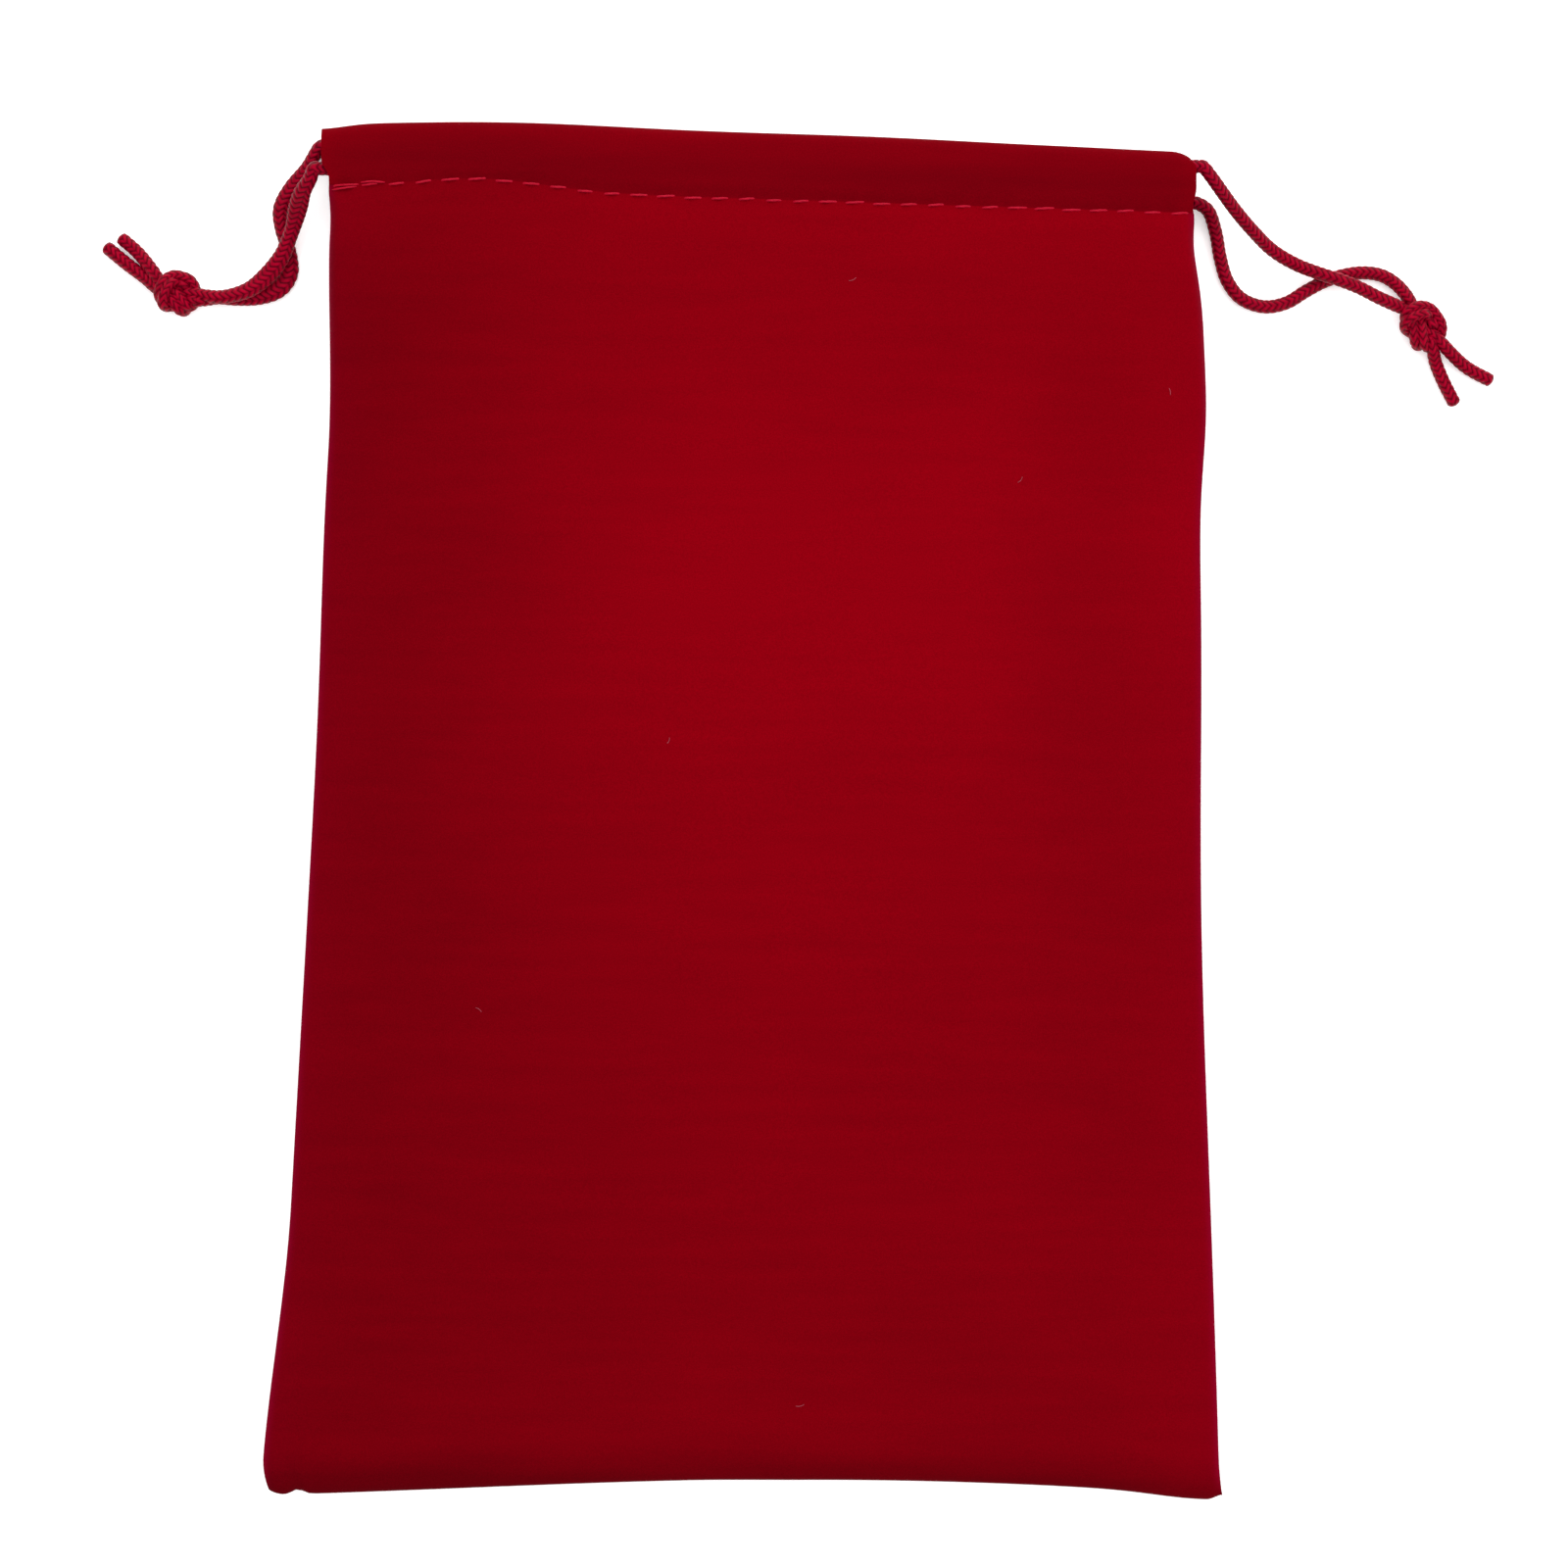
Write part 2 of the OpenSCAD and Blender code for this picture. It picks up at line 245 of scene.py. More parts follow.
def grid_faces(rows, columns, start=0, around=False, flip=False):
    """Quads of a grid of points, closed round its columns if asked."""
    last = columns if around else columns - 1
    i, k = np.meshgrid(np.arange(rows - 1), np.arange(last), indexing="ij")
    a = start + i * columns + k
    b = start + i * columns + (k + 1) % columns
    quads = np.stack([a, b, b + columns, a + columns], -1).reshape(-1, 4)
    return quads[:, ::-1] if flip else quads


def tube_faces(rings, around):
    """Faces of a tube of rings, closed at both ends."""
    faces = [list(f) for f in grid_faces(rings, around, around=True)]
    faces.append(list(range(around - 1, -1, -1)))
    faces.append(list(range((rings - 1) * around, rings * around)))
    return faces


def joined(parts):
    """Several meshes as one list of points and faces."""
    points, faces, start = [], [], 0
    for part_points, part_faces in parts:
        points.append(part_points)
        faces += [[i + start for i in face] for face in part_faces]
        start += len(part_points)
    return np.vstack(points), faces


def write_values(piece, name, values):
    """Give each point of the mesh a value that a material reads by this name."""
    attribute = piece.data.attributes.new(name, "FLOAT", "POINT")
    attribute.data.foreach_set("value", np.asarray(values, np.float32).ravel())


def smooth_line(points, step):
    """Even points, a step apart, on a smooth curve through the given ones."""
    p = np.asarray(points, float)
    p = np.vstack([2 * p[0] - p[1], p, 2 * p[-1] - p[-2]])
    knots = np.concatenate([[0], np.cumsum(np.linalg.norm(np.diff(p, axis=0), axis=1) ** 0.5)])
    out = []
    for i in range(1, len(p) - 2):
        t0, t1, t2, t3 = knots[i - 1 : i + 3]
        count = max(4, int(np.linalg.norm(p[i + 1] - p[i]) / step * 3))
        t = np.linspace(t1, t2, count, endpoint=False)[:, None]
        a1 = (t1 - t) / (t1 - t0) * p[i - 1] + (t - t0) / (t1 - t0) * p[i]
        a2 = (t2 - t) / (t2 - t1) * p[i] + (t - t1) / (t2 - t1) * p[i + 1]
        a3 = (t3 - t) / (t3 - t2) * p[i + 1] + (t - t2) / (t3 - t2) * p[i + 2]
        b1 = (t2 - t) / (t2 - t0) * a1 + (t - t0) / (t2 - t0) * a2
        b2 = (t3 - t) / (t3 - t1) * a2 + (t - t1) / (t3 - t1) * a3
        out.append((t2 - t) / (t2 - t1) * b1 + (t - t1) / (t2 - t1) * b2)
    return even_line(np.vstack([*out, p[-2:-1]]), step)


def even_line(line, step):
    """The same line with its points a step apart."""
    run = run_along(line)
    count = max(2, int(round(run[-1] / step)))
    at = np.linspace(0, run[-1], count + 1)
    return np.stack([np.interp(at, run, line[:, k]) for k in range(3)], 1)


def run_along(line):
    """How far along the line each of its points is."""
    return np.concatenate([[0], np.cumsum(np.linalg.norm(np.diff(line, axis=0), axis=1))])


# ------------------------------------------------------------------- materials


def new_material(name):
    """A material, its node tree and its shader."""
    material = bpy.data.materials.new(name)
    material.use_nodes = True
    tree = material.node_tree
    return material, tree, tree.nodes["Principled BSDF"]


def add_node(tree, kind, inputs=None, **settings):
    """A node with its settings, and values or links for its inputs."""
    node = tree.nodes.new(kind)
    for key, value in settings.items():
        setattr(node, key, value)
    for key, value in (inputs or {}).items():
        if isinstance(value, bpy.types.NodeSocket):
            tree.links.new(value, node.inputs[key])
        else:
            node.inputs[key].default_value = value
    return node


def stretched_noise(tree, stretch, scale, detail, label):
    """Noise over the object's own coordinates, drawn out along some axes."""
    place = add_node(tree, "ShaderNodeTexCoord")
    mapping = add_node(tree, "ShaderNodeMapping", {"Vector": place.outputs["Object"], "Scale": stretch})
    noise = add_node(
        tree, "ShaderNodeTexNoise",
        {"Vector": mapping.outputs["Vector"], "Scale": scale, "Detail": detail}, label=label,
    )
    return noise.outputs["Fac"]


def spread(tree, value, low, high, to_low=0.0, to_high=1.0):
    """A value between low and high, stretched to another range."""
    node = add_node(
        tree, "ShaderNodeMapRange",
        {"Value": value, "From Min": low, "From Max": high, "To Min": to_low, "To Max": to_high},
    )
    return node.outputs["Result"]


def mixed(tree, factor, first, second, blend="MIX"):
    """Two colours mixed. Sockets 0, 6 and 7 are the factor and the colours, and 2 is the result."""
    node = add_node(tree, "ShaderNodeMix", data_type="RGBA", blend_type=blend)
    for socket, value in zip((node.inputs[0], node.inputs[6], node.inputs[7]), (factor, first, second)):
        if isinstance(value, bpy.types.NodeSocket):
            tree.links.new(value, socket)
        else:
            socket.default_value = value
    return node.outputs[2]


def arithmetic(tree, operation, first, second):
    node = add_node(tree, "ShaderNodeMath", {0: first, 1: second}, operation=operation)
    return node.outputs["Value"]


def mesh_value(tree, name):
    """A value that the mesh holds at each of its points."""
    return add_node(tree, "ShaderNodeAttribute", attribute_name=name).outputs["Fac"]


def bumped(tree, height, strength, distance, under=None):
    """The surface's normal with a relief on it, over another relief if one is given."""
    inputs = {"Height": height, "Strength": strength, "Distance": distance}
    if under is not None:
        inputs["Normal"] = under
    return add_node(tree, "ShaderNodeBump", inputs).outputs["Normal"]


def set_sockets(shader, values):
    """Values that are the same all over the surface."""
    for name, value in values.items():
        shader.inputs[name].default_value = value


def velvet_material(colours):
    """Short cut pile: streaks across the cloth, soft mottling, painted light and shade, and a glow at the
    edges from the shader's sheen and a painted sheen.
    """
    material, tree, shader = new_material("Red velvet")
    streaks = stretched_noise(tree, (1, 9, 9), 42, 4, "Nap streaks")
    mottle = stretched_noise(tree, (1, 1.4, 1), 26, 2, "Brushed patches")
    pile = stretched_noise(tree, (1, 1, 1), 4200, 2, "Pile")
    uneven = arithmetic(
        tree, "ADD",
        spread(tree, streaks, 0.3, 0.7, -0.07, 0.07), spread(tree, mottle, 0.3, 0.7, -0.06, 0.06),
    )
    # The mesh's painted light mixes a shaded and a lit copy of the velvet, with random streaks and patches on
    # top; its painted sheen value brightens the edges.
    painted_light_and_streaks = arithmetic(tree, "ADD", mesh_value(tree, "painted_light"), uneven)
    shaded_and_lit_velvet = mixed(tree, painted_light_and_streaks, (*colours.velvet, 1), (*colours.velvet_painted_lit, 1))
    base = mixed(tree, mesh_value(tree, "painted_sheen"), shaded_and_lit_velvet, (*colours.velvet_painted_sheen, 1))
    speck = spread(tree, pile, 0.3, 0.7, 0.86, 1.1)
    grey = add_node(tree, "ShaderNodeCombineColor", {"Red": speck, "Green": speck, "Blue": speck})
    specked = mixed(tree, 1.0, base, grey.outputs["Color"], "MULTIPLY")
    tree.links.new(specked, shader.inputs["Base Color"])
    fine = bumped(tree, pile, 0.35, 0.00008)
    tree.links.new(bumped(tree, streaks, 0.25, 0.0003, fine), shader.inputs["Normal"])
    set_sockets(shader, {
        "Roughness": 0.95, "Specular IOR Level": 0.05, "Specular Tint": (1.0, 0.1, 0.2, 1),
        "Sheen Weight": 0.3, "Sheen Roughness": 0.2, "Sheen Tint": (*colours.pile_glow, 1),
    })
    return material


def cord_material(colours):
    """Braided yarn with a soft gloss, painted shade between its floats and painted light on their crowns."""
    material, tree, shader = new_material("Braided cord")
    dye = stretched_noise(tree, (1, 1, 1), 900, 3, "Uneven dye")
    fibres = stretched_noise(tree, (1, 1, 1), 7000, 2, "Fibres")
    # Painted shade: the braid's height darkens the colour between the floats and lights their crowns, and
    # uneven dye varies it at random.
    painted_light_and_dye = arithmetic(
        tree, "MULTIPLY",
        spread(tree, mesh_value(tree, "crown"), 0.25, 1.0), spread(tree, dye, 0.3, 0.7, 0.6, 1.0),
    )
    base = mixed(tree, painted_light_and_dye, (*colours.cord_painted_shade, 1), (*colours.cord, 1))
    tree.links.new(base, shader.inputs["Base Color"])
    tree.links.new(bumped(tree, fibres, 0.3, 0.00006), shader.inputs["Normal"])
    set_sockets(shader, {
        "Roughness": 0.42, "Specular IOR Level": 0.16, "Specular Tint": (1.0, 0.1, 0.18, 1),
    })
    return material


def thread_material(colours):
    """Shiny twisted sewing thread."""
    material, tree, shader = new_material("Sewing thread")
    fibres = stretched_noise(tree, (1, 4, 4), 2600, 3, "Twisted fibres")
    dark = tuple(0.55 * c for c in colours.thread)
    base = mixed(tree, spread(tree, fibres, 0.3, 0.65), (*dark, 1), (*colours.thread, 1))
    tree.links.new(base, shader.inputs["Base Color"])
    tree.links.new(bumped(tree, fibres, 0.3, 0.00005), shader.inputs["Normal"])
    set_sockets(shader, {
        "Roughness": 0.4, "Specular IOR Level": 0.3, "Specular Tint": (1.0, 0.2, 0.3, 1),
    })
    return material


def lint_material(colours):
    """Loose pale fibre."""
    material, tree, shader = new_material("Lint")
    tone = stretched_noise(tree, (1, 1, 1), 1500, 2, "Uneven fibre")
    dark = tuple(0.6 * c for c in colours.lint)
    base = mixed(tree, spread(tree, tone, 0.3, 0.7), (*dark, 1), (*colours.lint, 1))
    tree.links.new(base, shader.inputs["Base Color"])
    set_sockets(shader, {"Roughness": 0.8})
    return material


def floor_material():
    """White studio paper with a faint tooth, glowing a little so that shadows stay pale."""
    material, tree, shader = new_material("White paper floor")
    tooth = stretched_noise(tree, (1, 1, 1), 300, 2, "Paper tooth")
    base = mixed(tree, tooth, (0.93, 0.93, 0.93, 1), (0.95, 0.95, 0.95, 1))
    tree.links.new(base, shader.inputs["Base Color"])
    set_sockets(shader, {
        "Emission Color": (1, 1, 1, 1), "Emission Strength": 0.3,
        "Roughness": 0.9, "Specular IOR Level": 0.1,
    })
    return material


def material_for(kind):
    """The one material of a kind, made the first time it is asked for."""
    name, maker = {
        "velvet": ("Red velvet", velvet_material), "cord": ("Braided cord", cord_material),
        "thread": ("Sewing thread", thread_material), "lint": ("Lint", lint_material),
    }[kind]
    return bpy.data.materials.get(name) or maker(bpy.context.scene.sack_colours)


# ----------------------------------------------------------------- cloth shape

# Where the stitching and the fold end: across and up from the ends of the mouth
STITCH_ENDS = {LEFT: (2.1, -0.3), RIGHT: (-0.9, -0.3)}
FOLD_ENDS = {LEFT: (0.5, -1.8), RIGHT: (-0.7, -0.8)}
# Humps along the edges, seen from above, as (height, place, reach)
STITCH_HUMP = (1.9, -43, 15)
FOLD_SLACK = ((1.75, -38, 32), (1.1, 18, 34))
LEFT_BULGE = (-0.9, 0.777, 0.14)
RIGHT_BULGES = ((-0.95, 0.52, 0.3), (1.9, 0.86, 0.07), (1.45, 0.7, 0.2), (1.0, 0.935, 0.045))
# The sack's foot, out from the CAD panel's own edges
LEFT_OUT, RIGHT_OUT, BOTTOM_OUT = 1.05, 0.45, 0.7
BOTTOM = PANEL_LOW[1] - BOTTOM_OUT
# How high the left corner is, and how far the bottom edge bows up and the left side in
LEFT_CORNER_UP, BOTTOM_BOW, LEFT_WAIST = 1.0, 2.7, 2.35
# How far the left corner is set in and the right one stands out, and over what height
LEFT_CORNER, RIGHT_CORNER = (1.3, 6), (0.45, 7)
# Height where the front and back are sewn together, low down and near the mouth
SEAM_HEIGHT, MOUTH_SEAM_HEIGHT = 1.8, 4.0
# The front climbs to the mouth over this length, and the side slit opens over this one
CLIMB, SLIT = 46.0, 7.0
# The front's height at its lower end, before its middle puffs up
FRONT_HEIGHT = 3.6
# How deep the stitches pull the cloth at most, and the mean share of that along the hem
STITCH_DIP, PUCKER_MEAN = 0.5, 0.72
FOLD_RADIUS = 1.9
# Cloth of the hem that goes on past its stitching, inside
LAP = 3.0
# Across a panel between its edges
PANEL_WIDE = 153.0


def stitch_line(x_share):
    """The hem's stitching, from the left edge (0) to the right (1)."""
    hem = bpy.context.scene.sack_sizes.hem_depth / MM
    left = mouth_end(LEFT, hem) + np.array(STITCH_ENDS[LEFT])
    right = mouth_end(RIGHT, hem) + np.array(STITCH_ENDS[RIGHT])
    x = left[0] + (right[0] - left[0]) * x_share
    y = left[1] + (right[1] - left[1]) * x_share + humps(x, STITCH_HUMP)
    return np.stack([x, y], -1)


def fold_line(x_share, sag):
    """The mouth's folded edge. Sag is the share of its slack that shows."""
    left = mouth_end(LEFT, 0) + np.array(FOLD_ENDS[LEFT])
    right = mouth_end(RIGHT, 0) + np.array(FOLD_ENDS[RIGHT])
    x = left[0] + (right[0] - left[0]) * x_share
    y = left[1] + (right[1] - left[1]) * x_share + sag * humps(x, *FOLD_SLACK)
    # It rises quickly from its left end, and drops off in a round corner at the right.
    y = y + 0.5 * ease((x + 71) / 9) * (1 - x_share) + 0.3 * ease((x + 69) / 10) + 0.1 * bell(x, 56, 12)
    y = y - 1.0 * np.clip(1 - (right[0] - x) / 4.0, 0, 1) ** 2
    return np.stack([x, y], -1)


def side_line(side, up):
    """One side of the sack below the stitching, from 0 at the bottom to 1."""
    top = stitch_line(np.array(0.0 if side == LEFT else 1.0))
    if side == LEFT:
        foot = np.array([PANEL_LOW[0] - LEFT_OUT, BOTTOM + LEFT_CORNER_UP])
    else:
        foot = np.array([PANEL_HIGH[0] + RIGHT_OUT, BOTTOM])
    x = foot[0] + (top[0] - foot[0]) * up
    y = foot[1] + (top[1] - foot[1]) * up
    across, reach = LEFT_CORNER if side == LEFT else RIGHT_CORNER
    x = x + across * np.clip(1 - (y - foot[1]) / reach, 0, 1) ** 2
    if side == LEFT:
        x = x + LEFT_WAIST * ease(up / 0.22) * ease((1 - up) / 0.2) + humps(up, LEFT_BULGE)
        x = x - 0.2 + 0.2 * ease((up - 0.9) / 0.1) - 0.3 * up * ease((1 - up) / 0.05)
    else:
        x = x + humps(up, *RIGHT_BULGES) + 0.12 * (1 - up) - 0.2 * (1 - up) ** 4
    return np.stack([x, y], -1)


def bottom_line(x_share):
    """The sewn bottom edge, from the left corner (0) to the right (1)."""
    left, right = side_line(LEFT, np.array(0.0)), side_line(RIGHT, np.array(0.0))
    x = left[0] + (right[0] - left[0]) * x_share
    in_left, in_right = x - left[0], right[0] - x
    y = BOTTOM + BOTTOM_BOW * np.sin(np.pi * x_share**1.25)
    # The left corner is turned up, with a small hump beside it, and the right half hangs lower.
    y = y + (left[1] - BOTTOM) * np.clip(1 - in_left / 3.2, 0, 1) ** 2 + 0.8 * bell(in_left, 5.2, 1.3)
    y = y - (0.8 * bell(in_right, 5, 10) + 0.2 * ease((x + 10) / 20)) * ease(in_right / 3)
    return np.stack([x, y], -1)


def body_length():
    """From the bottom edge up to the stitching, along the middle."""
    return float(stitch_line(np.array(0.5))[1] - bottom_line(np.array(0.5))[1])


def body_point(x_share, up):
    """A point of the flat body, spanned between its four edges."""
    low, high = bottom_line(x_share), stitch_line(x_share)
    left, right = side_line(LEFT, up), side_line(RIGHT, up)
    corners = [line(np.array(end)) for line in (bottom_line, stitch_line) for end in (0.0, 1.0)]
    s, t = x_share[..., None], up[..., None]
    flat = (1 - s) * (1 - t) * corners[0] + s * (1 - t) * corners[1]
    flat = flat + (1 - s) * t * corners[2] + s * t * corners[3]
    return (1 - t) * low + t * high + (1 - s) * left + s * right - flat


def ripple(x, y):
    """Soft unevenness of cloth that has been folded and smoothed out."""
    z = 0.16 * np.sin(x / 17 + 0.7 + 0.5 * np.sin(y / 40)) * np.sin(y / 29 - 0.4)
    z = z + 0.12 * np.sin((x + 0.6 * y) / 13 + 1.1) * np.sin((y - 0.3 * x) / 37)
    z = z + 0.07 * np.sin((0.4 * x - y) / 7.5 + 2.0) * np.sin(x / 31 + 1.3)
    z = z + 0.9 * bell(x, 66, 9) * bell(y, 68, 16) - 0.5 * bell(x, 48, 12) * bell(y, 60, 26)
    return z


def seam_height(up_mm, body_mm):
    """Height of the side seam, rising with the front to the mouth."""
    climb = ease((up_mm - (body_mm - CLIMB - 4)) / (CLIMB - 3))
    return SEAM_HEIGHT + (MOUTH_SEAM_HEIGHT - SEAM_HEIGHT) * climb


def pucker(along_mm):
    """How deep the stitches pull the cloth along the hem, as a share of the most."""
    pitch = bpy.context.scene.sack_sizes.stitch_pitch / MM
    return PUCKER_MEAN + (1 - PUCKER_MEAN) * np.cos(2 * np.pi * along_mm / pitch)


def body_height(front, in_side, up_mm, body_mm, x, y):
    """Height of the front's or back's outer face, in_side from its edge and up_mm from the bottom."""
    sizes = bpy.context.scene.sack_sizes
    side_roll, bottom_roll = sizes.side_roll / MM, sizes.bottom_roll / MM
    seam = seam_height(up_mm, body_mm)
    slit = ease((up_mm - (body_mm - SLIT)) / SLIT)
    dip = STITCH_DIP * bell(up_mm, body_mm, 1.7) * pucker(x)
    if not front:
        # The back lies flat on the floor, and only its edges roll up to the seam.
        roll = quarter(in_side / side_roll) * quarter(up_mm / side_roll)
        return seam * (1 - roll) * (1 - slit) + dip + 0.02
    climb = ease((up_mm - (body_mm - CLIMB)) / CLIMB)
    flat = FRONT_HEIGHT + (SACK_TOP - FRONT_HEIGHT) * climb
    puff = (sizes.puff / MM) * (1 - climb) * ease(in_side / 44) * ease((up_mm + 3) / 50)
    near = ease(in_side / 14) * ease(up_mm / 18) * ease((body_mm - up_mm) / 14)
    roll = quarter(in_side / side_roll) * quarter(up_mm / bottom_roll)
    edge = seam + (SACK_TOP - 0.7 - seam) * slit
    return edge + (flat + puff - edge) * roll + ripple(x, y) * near - dip


def cloth_rows(front, side):
    """The outer face of half a panel, as rows from the bottom edge to the hem's raw edge."""
    in_side = spaced(PANEL_WIDE / 2, 1.25, 0.16, 1.6, 0)
    share = in_side / PANEL_WIDE
    if side == RIGHT:
        share = 1 - share
    body_mm = body_length()
    up_mm = spaced(body_mm, 1.7, 0.28, 3.0, 3.0)
    shares, ups = np.meshgrid(share, up_mm)
    flat = body_point(shares, ups / body_mm)
    z = body_height(front, in_side[None, :], ups, body_mm, flat[..., 0], flat[..., 1])
    # The sewn edge is drawn in a little, which leaves the seam as a fine groove.
    drawn = 0.35 * np.exp(-in_side / 0.25) * (1 - ease((ups - (body_mm - SLIT)) / SLIT))
    flat[..., 0] -= side * drawn
    body = np.dstack([flat, z])

    low = stitch_line(share)
    high = fold_line(share, 1.0 if front else 0.75)
    flare = np.exp(-in_side / 3.0)
    depth = np.linalg.norm(high - low, axis=-1)
    dip = STITCH_DIP * pucker(low[:, 0])

    def casing_row(k, z, tuck=0.0):
        """Points a share k of the way from the stitching to the fold, its end tucked in."""
        k = np.broadcast_to(k, share.shape)
        xy = low + (high - low) * k[:, None]
        # The casing's end stands out past the side seam, straight up to the fold.
        stand = ease((k - 0.12) / 0.33) - np.clip(k, 0, 1)
        xy[:, 0] += (high - low)[:, 0] * stand * flare
        if side == RIGHT:
            xy[:, 0] -= 0.9 * ease((k - 0.8) / 0.2) * flare
        xy[:, 0] -= side * tuck * flare
        return np.column_stack([xy, np.broadcast_to(z, share.shape)])

    # Up the outside, round the fold, down the inside to the stitching, and on along the lap
    straight = 1 - FOLD_RADIUS / depth
    rows = []
    for k in spaced(1, 0.075, 0.02, 0.12, 0)[1:]:
        sunk = dip * np.exp(-((k * 11 / 1.7) ** 2))
        rows.append(casing_row(k * straight, SACK_TOP - sunk))
    for a in np.linspace(0, np.pi, 13)[1:]:
        rows.append(casing_row(
            straight + FOLD_RADIUS * np.sin(a) / depth, SACK_TOP - FOLD_RADIUS * (1 - np.cos(a))
        ))
    for k in spaced(1, 0.09, 0.05, 0, 0.3)[1:]:
        climb = ease((k - 0.66) / 0.34)
        height = HEM_UNDERSIDE + (SACK_TOP - STITCH_DIP - 1.45 - HEM_UNDERSIDE) * climb
        rows.append(casing_row((1 - k) * straight, height, 0.6 * k))
    for down in np.linspace(0, LAP, 5)[1:]:
        rows.append(casing_row(-down / depth, SACK_TOP - STITCH_DIP - 1.5, 0.6 + 1.4 * down / LAP))
    casing = np.array(rows)
    if not front:
        casing[..., 2] = SACK_TOP - casing[..., 2]
    return np.vstack([body, casing]), len(body)


def body_painted_light(x, y):
    """Painted light over the body, from 0 to 1: how much the velvet is painted as lit rather than shaded.

    It is painted darkest at the left side and lightest over the middle, and less lit again beside the right.
    """
    across = ease((x + 75) / 75) * (1 - 0.32 * bell(x, 58, 14))
    painted_light = 0.13 + 0.87 * across * (0.4 + 0.58 * bell(y, 45, 62))
    painted_light = painted_light + ease((x - 35) / 20) * (0.08 - 0.18 * bell(y, 2, 45))
    return painted_light + 0.14 * bell(y, 99, 9) * (1 - 0.5 * bell(x, 0, 40))


def cloth_painted_light_and_sheen(rows, body_rows):
    """Painted light and shade over a whole panel, and painted sheen at its edges."""
    body, casing = rows[:body_rows], rows[body_rows:]
    painted_light = body_painted_light(body[..., 0], body[..., 1])
    # Painted sheen where the cloth turns over at the sides, painted shade where it turns under at the bottom
    in_side = np.abs(body[..., 0] - body[:, :1, 0])
    up = body[..., 1] - body[:1, :, 1]
    painted_sheen = np.zeros(rows.shape[:2])
    painted_sheen[:body_rows] = 0.85 * np.exp(-((in_side / 0.8) ** 2)) + 0.12 * np.exp(-in_side / 4)
    painted_sheen[:body_rows] *= ease((up + 1) / 6)
    painted_light -= 0.6 * np.exp(-((up / 5) ** 2))
    # The casing has painted light of its own: darker than the body, and lighter near the fold and the ends.
    above = np.linalg.norm((casing - body[-1:])[..., :2], axis=-1)
    in_hem = np.abs(casing[..., 0] - casing[:, :1, 0])
    hem = 0.1 * bell(casing[..., 0], 0, 40) - 0.05 * ease((casing[..., 0] - 35) / 20)
    hem += 0.3 * ease((above - 4.5) / 5) + 0.22 * np.exp(-in_hem / 2.5)
    return 0.24 + 0.76 * np.vstack([painted_light, hem]), painted_sheen


def thicken(rows, thickness, outward_up):
    """A sheet of cloth given its thickness: points, faces and each point's place in the rows."""
    count, columns = rows.shape[:2]
    size = count * columns
    normal = np.cross(np.gradient(rows, axis=1), np.gradient(rows, axis=0))
    normal /= np.maximum(np.linalg.norm(normal, axis=-1, keepdims=True), 1e-9)
    flip = (normal[count // 3, columns // 2, 2] > 0) != outward_up
    if flip:
        normal = -normal
    inner = rows - thickness * normal
    points = np.vstack([rows.reshape(-1, 3), inner.reshape(-1, 3)])
    faces = [grid_faces(count, columns, 0, flip=flip), grid_faces(count, columns, size, flip=not flip)]
    ring = np.concatenate([
        np.arange(columns),
        np.arange(1, count) * columns + columns - 1,
        (count - 1) * columns + np.arange(columns - 2, -1, -1),
        np.arange(count - 2, 0, -1) * columns,
    ])
    # The cut edges have points of their own, so that they don't round the cloth's shading.
    points = np.vstack([points, points[ring], points[ring + size]])
    start = np.arange(len(ring)) + 2 * size
    after = np.roll(start, -1)
    edge = np.stack([start, start + len(ring), after + len(ring), after], 1)
    faces.append(edge[:, ::-1] if flip else edge)
    return points, np.vstack(faces), np.concatenate([np.arange(size), np.arange(size), ring, ring])


def mouth_blend(piece):
    """Bakes the piece's placement into its mesh.
    """
    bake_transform(piece)


def cloth_panel(front):
    """Both halves of the front or the back, each cut in one with its hem."""
    sizes = bpy.context.scene.sack_sizes
    word = "front" if front else "back"
    for side in (LEFT, RIGHT):
        rows, body_rows = cloth_rows(front, side)
        points, faces, source = thicken(rows, sizes.cloth / MM, outward_up=front)
        piece = mesh_piece(f"{word}_velvet_{SIDES[side]}", points, faces, material_for("velvet"))
        # Painted light and shade, and painted sheen at the edges, for the velvet material to mix.
        painted_light, painted_sheen = cloth_painted_light_and_sheen(rows, body_rows)
        write_values(piece, "painted_light", painted_light.ravel()[source])
        write_values(piece, "painted_sheen", painted_sheen.ravel()[source])
        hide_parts(f"{word}_panel", f"{word}_hem_casing")
        mouth_blend(piece)


# --------------------------------------------------------------- stitched rows

HEM_STITCHES, SIDE_STITCHES, BOTTOM_STITCHES = 32, 60, 44
# Small changes from one stitch to the next, used in turn
WANDER = (0.0, 0.08, -0.05, 0.1, -0.1, 0.04, -0.07)
# The stitches that lock the thread: along, up, slant in degrees and length
LOCK_STITCHES = (
    (2.6, -0.75, 8, 4.4), (3.3, -0.3, 3, 3.6), (6.6, -0.1, 5, 3.0), (8.2, -0.3, -3, 2.4),
)
# How far the middle of a stitch lies below the cloth beside it
STITCH_SINK = STITCH_DIP * PUCKER_MEAN
# The seams' stitches: in from the edge, and up from the seam
SEAM_STITCH_IN, SEAM_STITCH_UP = 1.9, 0.62


